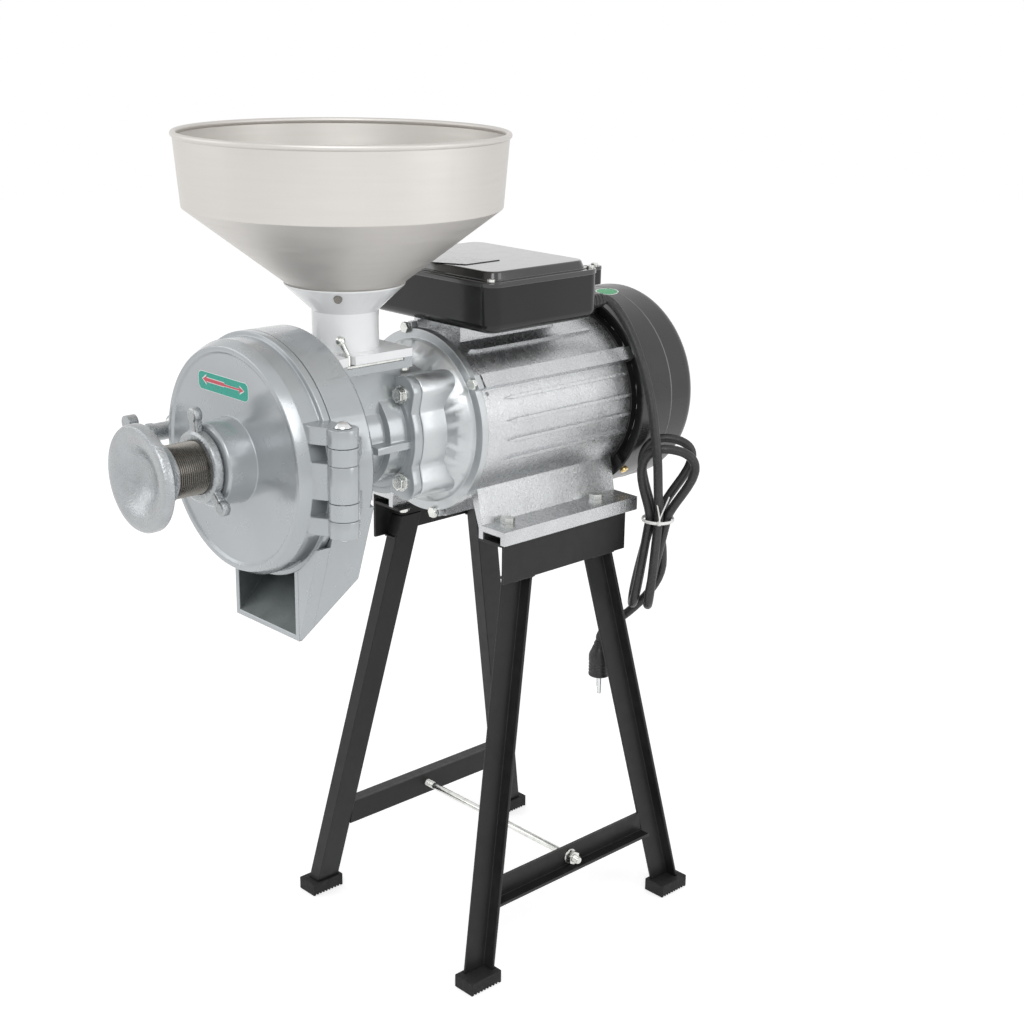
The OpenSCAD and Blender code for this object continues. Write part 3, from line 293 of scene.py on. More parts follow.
CAST_ALUMINIUM = Finish("cast_aluminium", (0.51, 0.53, 0.54), metallic=0.85, roughness=0.36, tone=0.06, patch=30,
                        rough_spread=0.08, bump=0.5, bump_scale=800, bump_depth=0.0002, flecks=0.15,
                        fleck_scale=1100, fleck_colour=(0.25, 0.26, 0.27), coat=0.3, soft=1.1, swell=1.8)
DARK_STEEL = Finish("dark_oiled_steel", (0.20, 0.19, 0.175), metallic=1.0, roughness=0.28, tone=0.08, patch=60,
                    rough_spread=0.05, bump=0.05, bump_scale=1200)
BRIGHT_STEEL = Finish("bright_steel", (0.72, 0.73, 0.74), metallic=1.0, roughness=0.16, tone=0.06, patch=60,
                      rough_spread=0.05, bump=0.05, bump_scale=2000)
COPPER = Finish("varnished_copper", (0.62, 0.24, 0.09), metallic=0.9, roughness=0.35, tone=0.2, patch=200,
                rough_spread=0.1, bump=0.3, bump_scale=700, bump_depth=0.0004)
BRASS = Finish("brass_screw", (0.78, 0.58, 0.24), metallic=1.0, roughness=0.25, tone=0.08, patch=80,
               rough_spread=0.06, bump=0.05, bump_scale=1500, soft=0.3)
# the lighter edge colour is a painted highlight along the plastic's edges
BLACK_PLASTIC = Finish("black_plastic", grey(0.014), roughness=0.3, tone=0.18, patch=25, rough_spread=0.06, bump=0.12,
                       bump_scale=1600, bump_depth=0.0001, coat=0.1, edge=0.2, edge_highlight_colour=grey(0.08), soft=0.4)
BOX_GLOSS = Finish("box_gloss_black", grey(0.010), roughness=0.16, tone=0.15, patch=18, rough_spread=0.04, bump=0.06,
                   bump_scale=1500, bump_depth=0.0001, coat=0.85, coat_roughness=0.07, swell=2.5, swell_scale=38)
# the lighter edge colour is a painted highlight along the cover's edges
COVER_PAINT = Finish("fan_cover_paint", grey(0.022), roughness=0.30, tone=0.1, patch=16, rough_spread=0.05, bump=0.1,
                     bump_scale=1500, bump_depth=0.0001, coat=0.12, edge=0.3, edge_highlight_colour=grey(0.12), soft=0.6,
                     swell=1.5, swell_scale=30)
TUB_BLACK = Finish("tub_black", grey(0.009), roughness=0.15, tone=0.15, patch=18, rough_spread=0.04, bump=0.06,
                   bump_scale=1500, bump_depth=0.0001, swell=2.5, swell_scale=38, specular=0.4)
CREAM_PLASTIC = Finish("cream_plastic", (0.68, 0.64, 0.5), roughness=0.5, tone=0.06, patch=60)
GREY_PAINT = Finish("light_grey_gloss", (0.39, 0.415, 0.43), metallic=0.45, roughness=0.24, tone=0.05, patch=12,
                    rough_spread=0.05, bump=0.12, bump_scale=180, bump_depth=0.0002, coat=0.6, soft=1.0, swell=1.6,
                    swell_scale=28)
# painted shade: a dark grey for the chute's inside, which is dark only from shade
PAINTED_SHADE_INSIDE = Finish("painted_shade_inside", (0.10, 0.115, 0.115), metallic=0.3, roughness=0.5, tone=0.25, patch=25,
                     rough_spread=0.1, bump=0.4, bump_scale=420, bump_depth=0.0003, swell=0.6)
STONE = Finish("emery_stone", (0.42, 0.39, 0.33), roughness=0.9, tone=0.25, patch=90, rough_spread=0.08, bump=0.9,
               bump_scale=900, bump_depth=0.0008, flecks=0.8, fleck_scale=1300, fleck_colour=(0.12, 0.11, 0.1))
CAST_IRON = Finish("ground_cast_iron", (0.3, 0.3, 0.31), metallic=1.0, roughness=0.4, tone=0.2, patch=60, bump=0.3,
                   bump_scale=900, soft=0.5)
ENAMEL = Finish("white_enamel", (0.86, 0.87, 0.88), roughness=0.2, tone=0.03, patch=30, rough_spread=0.05, bump=0.05,
                bump_scale=300, coat=0.5, soft=0.9, swell=1.0)
CAST_SILVER = Finish("cast_silver", (0.37, 0.385, 0.395), metallic=0.75, roughness=0.3, tone=0.08, patch=60,
                     rough_spread=0.08, bump=0.7, bump_scale=520, bump_depth=0.0008, coat=0.35, soft=0.9, swell=1.0,
                     swell_scale=120)
STAINLESS = Finish("polished_stainless", (0.61, 0.59, 0.565), metallic=1.0, roughness=0.52, tone=0.025, patch=9,
                   rough_spread=0.05, bump=0.05, bump_scale=420, bump_depth=0.0001, grain=Grain.BRUSHED,
                   stretch=(0.35, 0.35, 6.0))
CORD = Finish("cord_sheath", grey(0.016), roughness=0.42, tone=0.2, patch=120, rough_spread=0.08, bump=0.2,
              bump_scale=1500, bump_depth=0.0001, flecks=0.12, fleck_scale=500, fleck_colour=(0.16, 0.16, 0.17))
WHITE_TIE = Finish("white_tie", (0.82, 0.82, 0.8), roughness=0.4, tone=0.05, patch=80)
LABEL_WHITE = Finish("label_white", (0.76, 0.80, 0.79), roughness=0.35, tone=0.03, patch=60, bump=0.05)
LABEL_TEAL = Finish("label_teal", (0.012, 0.36, 0.27), roughness=0.32, tone=0.06, patch=60, bump=0.05)
LABEL_RED = Finish("label_red", (0.60, 0.07, 0.10), roughness=0.32, tone=0.06, patch=60, bump=0.05)
LABEL_GREEN = Finish("label_green", (0.02, 0.34, 0.12), roughness=0.35, tone=0.1, patch=60, bump=0.05)
PLATE = Finish("lid_plate", grey(0.05), metallic=0.5, roughness=0.2, tone=0.1, patch=60, bump=0.05, coat=0.8)
# painted highlight: the light grey of the fan cover's crease line
CREASE_HIGHLIGHT = Finish("cover_crease_highlight", grey(0.16), metallic=0.2, roughness=0.35, tone=0.15, patch=40, bump=0.1)
WELD = Finish("painted_weld", grey(0.014), roughness=0.42, tone=0.3, patch=120, bump=0.5, bump_scale=700,
              bump_depth=0.0003, specular=0.35)

CAD_FINISHES: dict[str, Finish] = {
    "black_paint": BLACK_COAT, "zinc": ZINC, "foot_rubber": FOOT_RUBBER, "silver_paint": HAMMERED,
    "cast_aluminium": CAST_ALUMINIUM, "dark_steel": DARK_STEEL, "bright_steel": BRIGHT_STEEL, "copper": COPPER,
    "brass": BRASS, "black_plastic": BLACK_PLASTIC, "cream_plastic": CREAM_PLASTIC, "grey_paint": GREY_PAINT,
    "stone": STONE, "cast_iron": CAST_IRON, "white_enamel": ENAMEL, "stainless": STAINLESS, "cord_rubber": CORD,
    "white_tie": WHITE_TIE,
}
NODE_FINISHES: dict[str, Finish] = {
    "fan_cover": COVER_PAINT, "clamp_knob": CAST_SILVER, "clamp_collar": ZINC, "tie_bolts": ZINC,
    "housing_bolts": ZINC, "flange_bolts": ZINC, "rear_end_bell": BLACK_COAT,
}


def deselect() -> None:
    """Leaves object mode with nothing selected."""
    if bpy.context.object is not None and bpy.context.object.mode != "OBJECT":
        bpy.ops.object.mode_set(mode="OBJECT")
    bpy.ops.object.select_all(action="DESELECT")


def activate(piece: bpy.types.Object) -> None:
    """Selects one object alone and makes it active."""
    deselect()
    piece.select_set(True)
    bpy.context.view_layer.objects.active = piece


def edit_all() -> None:
    """Goes into edit mode with the whole mesh selected."""
    bpy.ops.object.mode_set(mode="EDIT")
    bpy.ops.mesh.select_all(action="SELECT")


def linked(name: str, data: bpy.types.ID | None) -> bpy.types.Object:
    """Makes an object of some data and puts it in the scene."""
    made = bpy.data.objects.new(name, data)
    bpy.context.scene.collection.objects.link(made)
    return made


def coat(piece: bpy.types.Object, finish: Finish) -> None:
    """Gives an object one finish in all its material slots."""
    material = finish.material()
    if not piece.material_slots:
        piece.data.materials.append(material)
    for slot in piece.material_slots:
        slot.material = material


def fit(piece: bpy.types.Object, body: Body, finish: Finish,
        replaces: Sequence[str] = ()) -> bpy.types.Object:
    """Puts a finished piece on its body and the CAD nodes it stands for.

    Args:
        piece: The finished mesh or curve object.
        body: The CAD body that it moves with.
        finish: The finish it shows.
        replaces: The CAD nodes that it replaces.

    Returns:
        The same piece.
    """
    coat(piece, finish)
    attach(piece, body.value)
    if replaces:
        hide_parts(*replaces)
    faces = len(piece.data.polygons) if piece.type == "MESH" else 0
    LOG.info("%s: %d faces on %s", piece.name, faces, body.value)
    return piece


class Axis(Enum):
    """Which way a turned piece's axis points."""

    UP = "up"
    REAR = "rear"
    RIGHT = "right"

    def turn(self) -> Matrix:
        """Returns the turn from the upright axis to this one."""
        if self is Axis.REAR:
            return Matrix.Rotation(-math.pi / 2, 4, "X")
        if self is Axis.RIGHT:
            return Matrix.Rotation(math.pi / 2, 4, "Y")
        return Matrix.Identity(4)


class Ends(Enum):
    """How a turned piece's profile ends."""

    CAPPED = "capped"
    JOINED = "joined"


def settle(piece: bpy.types.Object, place: Matrix, angle: float = 32.0) -> bpy.types.Object:
    """Bakes an object's place into its mesh, turns its faces outwards and shades it by angle.

    Args:
        piece: The mesh object.
        place: Where its mesh goes after its own place is applied.
        angle: The sharpest smooth edge, in degrees.

    Returns:
        The same piece.
    """
    activate(piece)
    bpy.ops.object.transform_apply(location=True, rotation=True, scale=True)
    piece.data.transform(place)
    edit_all()
    bpy.ops.mesh.normals_make_consistent(inside=False)
    bpy.ops.object.mode_set(mode="OBJECT")
    bpy.ops.object.shade_smooth_by_angle(angle=math.radians(angle))
    return piece


def apply(piece: bpy.types.Object, kind: str, **settings: object) -> None:
    """Adds one modifier with these settings and applies it."""
    activate(piece)
    modifier = piece.modifiers.new(kind.lower(), kind)
    for name, value in settings.items():
        setattr(modifier, name, value)
    bpy.ops.object.modifier_apply(modifier=modifier.name)


def soften(piece: bpy.types.Object, width: float, segments: int = 2, angle: float = 30.0) -> bpy.types.Object:
    """Rounds a piece's edges and shades it again.

    Args:
        piece: The mesh object.
        width: The rounding's width in metres.
        segments: Its steps.
        angle: Edges that turn by more than this many degrees are rounded.

    Returns:
        The same piece.
    """
    apply(piece, "BEVEL", width=width, segments=segments, limit_method="ANGLE",
          angle_limit=math.radians(angle), harden_normals=False, use_clamp_overlap=True)
    bpy.ops.object.shade_smooth_by_angle(angle=math.radians(SMOOTH_ANGLE))
    return piece


def turned(name: str, profile: Sequence[tuple[float, float]], centre: tuple[float, float, float], axis: Axis,
           sides: int = 64, ends: Ends = Ends.CAPPED) -> bpy.types.Object:
    """Turns a profile on its axis: a ring is extruded and resized from point to point.

    Args:
        name: The piece's name.
        profile: Radius and height of each point, in millimetres.
        centre: The profile's origin, in metres.
        axis: Where the heights run.
        sides: Steps round the axis.
        ends: Whether the ends are capped, or joined to each other.

    Returns:
        The turned mesh object.
    """
    deselect()
    radius, height = profile[0]
    bpy.ops.mesh.primitive_circle_add(
        vertices=sides, radius=radius * MM, fill_type="NGON" if ends is Ends.CAPPED else "NOTHING",
        location=(0, 0, height * MM))
    piece = bpy.context.object
    piece.name = name
    edit_all()
    points = list(profile[1:]) + ([profile[0]] if ends is Ends.JOINED else [])
    for next_radius, next_height in points:
        bpy.ops.mesh.extrude_region_move(
            TRANSFORM_OT_translate={"value": (0, 0, (next_height - height) * MM)})
        share = next_radius / radius
        bpy.ops.transform.resize(value=(share, share, 1), center_override=(0, 0, next_height * MM))
        radius, height = next_radius, next_height
    bpy.ops.mesh.select_all(action="SELECT")
    bpy.ops.mesh.remove_doubles(threshold=SAME_POINT)
    return settle(piece, Matrix.Translation(centre) @ axis.turn())


def block(name: str, low: Sequence[float], high: Sequence[float], edge: float = 0.6,
          segments: int = 2) -> bpy.types.Object:
    """Makes a block with rounded edges between two corners, all in millimetres."""
    deselect()
    middle = [(a + b) / 2 * MM for a, b in zip(low, high)]
    bpy.ops.mesh.primitive_cube_add(size=1, location=middle)
    piece = bpy.context.object
    piece.name = name
    piece.scale = [(b - a) * MM for a, b in zip(low, high)]
    settle(piece, Matrix.Identity(4))
    return soften(piece, edge * MM, segments)


def select_level(piece: bpy.types.Object, height: float) -> None:
    """Goes into edit mode with what lies wholly at one height, in millimetres, selected."""
    activate(piece)
    bpy.ops.object.mode_set(mode="EDIT")
    bpy.ops.mesh.select_mode(type="VERT")
    bpy.ops.mesh.select_all(action="DESELECT")
    mesh = bmesh.from_edit_mesh(piece.data)
    for vertex in mesh.verts:
        if abs(vertex.co.z - height * MM) < 1e-5:
            vertex.select_set(True)
    mesh.select_flush(True)
    bmesh.update_edit_mesh(piece.data)


def round_level(piece: bpy.types.Object, height: float, width: float, segments: int = 4) -> None:
    """Rounds the rim that lies at one height.

    Args:
        piece: The mesh object.
        height: The rim's height, in millimetres.
        width: The rounding's width, in millimetres.
        segments: Its steps.
    """
    select_level(piece, height)
    bpy.ops.mesh.bevel(offset=width * MM, offset_type="OFFSET", segments=segments, profile=0.5, affect="EDGES",
                       clamp_overlap=True)
    bpy.ops.object.mode_set(mode="OBJECT")


def hollow(piece: bpy.types.Object, height: float, wall: float, depth: float) -> None:
    """Sinks the face at one height inside a wall.

    Args:
        piece: The mesh object.
        height: The face's height, in millimetres.
        wall: How much of the face stays round the hollow, in millimetres.
        depth: How far down it goes, in millimetres, or up where it is negative.
    """
    select_level(piece, height)
    bpy.ops.mesh.inset(thickness=wall * MM, depth=0)
    bpy.ops.mesh.extrude_region_move(TRANSFORM_OT_translate={"value": (0, 0, -depth * MM)})
    bpy.ops.object.mode_set(mode="OBJECT")


def tapered(piece: bpy.types.Object, height: float, centre: tuple[float, float], share: tuple[float, float]) -> None:
    """Draws in the face at one height towards a centre.

    Args:
        piece: The mesh object.
        height: The face's height, in millimetres.
        centre: Where it is drawn in to, X and Y in millimetres.
        share: What stays of its size along X and Y.
    """
    select_level(piece, height)
    bpy.ops.transform.resize(value=(share[0], share[1], 1),
                             center_override=(centre[0] * MM, centre[1] * MM, height * MM))
    bpy.ops.object.mode_set(mode="OBJECT")


def reshaded(piece: bpy.types.Object) -> bpy.types.Object:
    """Turns a piece's faces outwards and shades it again."""
    return settle(piece, Matrix.Identity(4), SMOOTH_ANGLE)


def sheet_from(name: str, outline: Sequence[tuple[float, float]], thickness: float, place: Matrix,
               edge: float = 0.3) -> bpy.types.Object:
    """Cuts a sheet to an outline and gives it thickness.

    Args:
        name: The piece's name.
        outline: Its corners in its own plane, in millimetres.
        thickness: Its thickness along its own +Z, in millimetres.
        place: Where its own plane lies, in metres.
        edge: The rounding of its edges, in millimetres.

    Returns:
        The mesh object.
    """
    deselect()
    bpy.ops.mesh.primitive_circle_add(vertices=len(outline), radius=MM, fill_type="NGON")
    piece = bpy.context.object
    piece.name = name
    for vertex, (x, y) in zip(piece.data.vertices, outline):
        vertex.co = (x * MM, y * MM, 0)
    edit_all()
    bpy.ops.mesh.extrude_region_move(TRANSFORM_OT_translate={"value": (0, 0, thickness * MM)})
    settle(piece, place)
    return soften(piece, edge * MM, 2) if edge else piece


def round_curve(name: str, radius: float, resolution: int) -> bpy.types.Curve:
    """Makes a curve that shows as a round bar with closed ends.

    Args:
        name: The curve's name.
        radius: The bar's radius in metres.
        resolution: Bevel resolution, 3 gives ten sides.

    Returns:
        The curve, which has no spline yet.
    """
    curve = bpy.data.curves.new(name, "CURVE")
    curve.dimensions = "3D"
    curve.bevel_depth = radius
    curve.bevel_resolution = resolution
    curve.use_fill_caps = True
    return curve


def pipe(name: str, path: Sequence[Vector], radius: float, resolution: int = 3) -> bpy.types.Object:
    """Draws a round bar along a path of points in metres and makes it a mesh.

    Args:
        name: The piece's name.
        path: The points.
        radius: The bar's radius in metres.
        resolution: Bevel resolution, 3 gives ten sides.

    Returns:
        The mesh object.
    """
    curve = round_curve(name, radius, resolution)
    spline = curve.splines.new("POLY")
    spline.points.add(len(path) - 1)
    for knot, point in zip(spline.points, path):
        knot.co = (*point, 1.0)
    activate(linked(name, curve))
    bpy.ops.object.convert(target="MESH")
    piece = bpy.context.object
    edit_all()
    bpy.ops.mesh.remove_doubles(threshold=SAME_POINT)
    bpy.ops.object.mode_set(mode="OBJECT")
    return settle(piece, Matrix.Identity(4), 50)


def joined(first: bpy.types.Object, others: Iterable[bpy.types.Object]) -> bpy.types.Object:
    """Joins meshes into the first one."""
    activate(first)
    for other in others:
        other.select_set(True)
    bpy.ops.object.join()
    return first


def merged(name: str, parts: Sequence[bpy.types.Object]) -> bpy.types.Object:
    """Joins meshes into one of this name."""
    whole = joined(parts[0], parts[1:])
    whole.name = name
    return whole


def filleted(corners: Sequence[tuple[float, float]], radius: float, steps: int = 3,
             closed: bool = False) -> list[tuple[float, float]]:
    """Rounds the corners of a profile.

    Args:
        corners: The profile's corners.
        radius: The rounding's radius, less where a side is short.
        steps: Steps in each rounding.
        closed: Whether the profile's ends meet.

    Returns:
        The rounded profile.
    """
    points: list[tuple[float, float]] = []
    count = len(corners)
    for i, corner in enumerate(corners):
        if not closed and i in (0, count - 1):
            points.append(corner)
            continue
        here = Vector(corner)
        before, after = Vector(corners[i - 1]) - here, Vector(corners[(i + 1) % count]) - here
        opening = before.angle(after)
        if opening > math.radians(172):
            points.append(corner)
            continue
        cut = min(radius / math.tan(opening / 2), before.length * 0.45, after.length * 0.45)
        start, end = here + before.normalized() * cut, here + after.normalized() * cut
        for k in range(steps + 1):
            t = k / steps
            point = start * (1 - t) ** 2 + here * (2 * t * (1 - t)) + end * t ** 2
            points.append((point.x, point.y))
    return points


def ring_points(count: int, radius: float, centre: Sequence[float], start: float = 0.0) -> list[Vector]:
    """Returns points round the motor's direction, in metres.

    Args:
        count: How many.
        radius: The ring's radius in millimetres.
        centre: The ring's middle in millimetres.
        start: The first point's angle from +X towards +Z, in degrees.

    Returns:
        The points.
    """
    turns = [math.radians(start + 360 * i / count) for i in range(count)]
    return [Vector((centre[0] + radius * math.cos(t), centre[1], centre[2] + radius * math.sin(t))) * MM
            for t in turns]


def threaded(name: str, radius: float, pitch: float, depth: float, start: float, end: float,
             centre: tuple[float, float, float], axis: Axis, steps: int = 40) -> bpy.types.Object:
    """Makes a threaded bar: a chamfered core with a helical ridge wound on it by a Screw modifier.

    Args:
        name: The piece's name.
        radius: Outer radius, in millimetres.
        pitch: The thread's pitch, in millimetres.
        depth: The thread's depth, in millimetres.
        start: Lower end along the axis, in millimetres.
        end: Upper end along the axis, in millimetres.
        centre: The axis's origin, in metres.
        axis: Where the heights run.
        steps: Steps in each turn.

    Returns:
        The mesh object.
    """
    root = radius - depth
    core = turned(name, [(root - depth, start), (root, start + depth), (root, end - depth), (root - depth, end)],
                  centre, axis, steps)
    turns = max(1, int((end - start - 2 * depth) / pitch) - 1)
    deselect()
    bpy.ops.mesh.primitive_circle_add(vertices=4, radius=MM, fill_type="NOTHING")
    ridge = bpy.context.object
    base = start + depth + pitch / 2
    corners = [(root - 0.15, base - pitch * 0.46), (radius, base - pitch * 0.07),
               (radius, base + pitch * 0.07), (root - 0.15, base + pitch * 0.46)]
    for vertex, (x, z) in zip(ridge.data.vertices, corners):
        vertex.co = (x * MM, 0, z * MM)
    apply(ridge, "SCREW", axis="Z", screw_offset=pitch * MM, iterations=turns, steps=steps, render_steps=steps,
          use_merge_vertices=False, use_smooth_shade=False)
    edit_all()
    bpy.ops.mesh.fill_holes(sides=0)
    bpy.ops.object.mode_set(mode="OBJECT")
    settle(ridge, Matrix.Translation(centre) @ axis.turn())
    return joined(core, [ridge])


@dataclass
class Viewpoint:
    """The camera that took the photograph, in the CAD frame."""

    place: tuple[float, float, float] = (1.21, -1.13609, 0.96081)
    right: tuple[float, float, float] = (0.68730, 0.72623, 0.01446)
    up: tuple[float, float, float] = (-0.22689, 0.19573, 0.95405)
    focal_pixels: float = 1670.195
    frame_pixels: float = 1024.0
    film: float = 36.0

    def build(self) -> None:
        """Makes the camera."""
        lens = bpy.data.cameras.new("viewpoint")
        lens.sensor_fit = "HORIZONTAL"
        lens.sensor_width = self.film
        lens.lens = self.focal_pixels * self.film / self.frame_pixels
        lens.clip_start, lens.clip_end = 0.05, 30.0
        camera = linked("viewpoint", lens)
        right, up = Vector(self.right).normalized(), Vector(self.up).normalized()
        back = right.cross(up).normalized()
        turn = Matrix((right, back.cross(right), back)).transposed().to_4x4()
        camera.matrix_world = Matrix.Translation(self.place) @ turn
        bpy.context.scene.camera = camera


@dataclass
class Studio:
    """A plain pale floor under plain, soft light from all sides."""

    floor_half: float = 6.0
    floor_colour: Colour = (0.80, 0.80, 0.80)
    floor_glow: float = 0.5
    level: float = 0.62
    middle: tuple[float, float, float] = (0.0, 0.0, 0.5)
    lamps: tuple[tuple[str, tuple[float, float, float], float, float], ...] = (
        ("key_lamp", (1.6, -1.6, 2.2), 1.6, 26.0), ("side_lamp", (2.4, 0.9, 1.2), 1.4, 11.0),
        ("left_lamp", (-1.8, -1.9, 1.5), 1.6, 10.0))

    @staticmethod
    def any_ray(tree: bpy.types.NodeTree, first: str, *others: str) -> bpy.types.NodeSocket:
        """Returns 1 for a ray of any of these kinds.

        Args:
            tree: The node tree to add to.
            first: A kind, as the Light Path node calls it.
            others: More kinds.

        Returns:
            The value socket.
        """
        path = tree.nodes.new("ShaderNodeLightPath")
        either = path.outputs[first]
        for ray in others:
            most = tree.nodes.new("ShaderNodeMath")
            most.operation = "MAXIMUM"
            tree.links.new(either, most.inputs[0])
            tree.links.new(path.outputs[ray], most.inputs[1])
            either = most.outputs[0]
        return either

    def floor(self) -> None:
        """Makes the floor, which stays white in the camera's view away from the mill's shadow."""
        deselect()
        bpy.ops.mesh.primitive_plane_add(size=2 * self.floor_half, location=(0, 0, -0.0002))
        plane = bpy.context.object
        plane.name = "floor"
        bpy.ops.object.mode_set(mode="EDIT")
        bpy.ops.mesh.subdivide(number_cuts=3)
        bpy.ops.object.mode_set(mode="OBJECT")
        bpy.ops.object.transform_apply(location=True, rotation=True, scale=True)
        material = bpy.data.materials.new("studio_floor")
        material.use_nodes = True
        tree = material.node_tree
        shader = tree.nodes["Principled BSDF"]
        shader.inputs["Base Color"].default_value = (*self.floor_colour, 1.0)
        shader.inputs["Roughness"].default_value = 0.8
        shader.inputs["Specular IOR Level"].default_value = 0.1
        shader.inputs["Emission Color"].default_value = (1, 1, 1, 1)
        glow = tree.nodes.new("ShaderNodeMath")
        glow.operation = "MULTIPLY"
        glow.inputs[1].default_value = self.floor_glow
        tree.links.new(self.any_ray(tree, "Is Camera Ray", "Is Glossy Ray"), glow.inputs[0])
        tree.links.new(glow.outputs[0], shader.inputs["Emission Strength"])
        plane.data.materials.append(material)

    def lamp(self, name: str, place: tuple[float, float, float], size: float, power: float) -> None:
        """Hangs a square soft lamp that points at the mill's middle.

        Args:
            name: The lamp's name.
            place: Where it hangs, in metres.
            size: Its side, in metres.
            power: Its power, in watts.
        """
        light = bpy.data.lights.new(name, "AREA")
        light.shape = "SQUARE"
        light.size = size
        light.energy = power
        lamp = linked(name, light)
        aim = Vector(self.middle) - Vector(place)
        lamp.matrix_world = Matrix.Translation(place) @ aim.to_track_quat("-Z", "Y").to_matrix().to_4x4()

    def world(self) -> None:
        """Fills the world with level light, and shows white where a ray from the camera or a gloss meets it."""
        world = bpy.data.worlds.new("studio")
        bpy.context.scene.world = world
        world.use_nodes = True
        tree = world.node_tree
        tree.nodes.clear()
        out = tree.nodes.new("ShaderNodeOutputWorld")
        lit = tree.nodes.new("ShaderNodeBackground")
        lit.inputs["Color"].default_value = (1, 1, 1, 1)
        lit.inputs["Strength"].default_value = self.level
        seen = tree.nodes.new("ShaderNodeBackground")
        seen.inputs["Color"].default_value = (1, 1, 1, 1)
        seen.inputs["Strength"].default_value = 1.0
        mixed = tree.nodes.new("ShaderNodeMixShader")
        tree.links.new(self.any_ray(tree, "Is Camera Ray", "Is Transmission Ray", "Is Glossy Ray"), mixed.inputs[0])
        tree.links.new(lit.outputs[0], mixed.inputs[1])
        tree.links.new(seen.outputs[0], mixed.inputs[2])
        tree.links.new(mixed.outputs[0], out.inputs["Surface"])

    def build(self) -> None:
        """Makes floor, lamps and world, and keeps the plain view transform."""
        bpy.context.scene.view_settings.view_transform = "Standard"
        self.floor()
        for name, place, size, power in self.lamps:
            self.lamp(name, place, size, power)
        self.world()


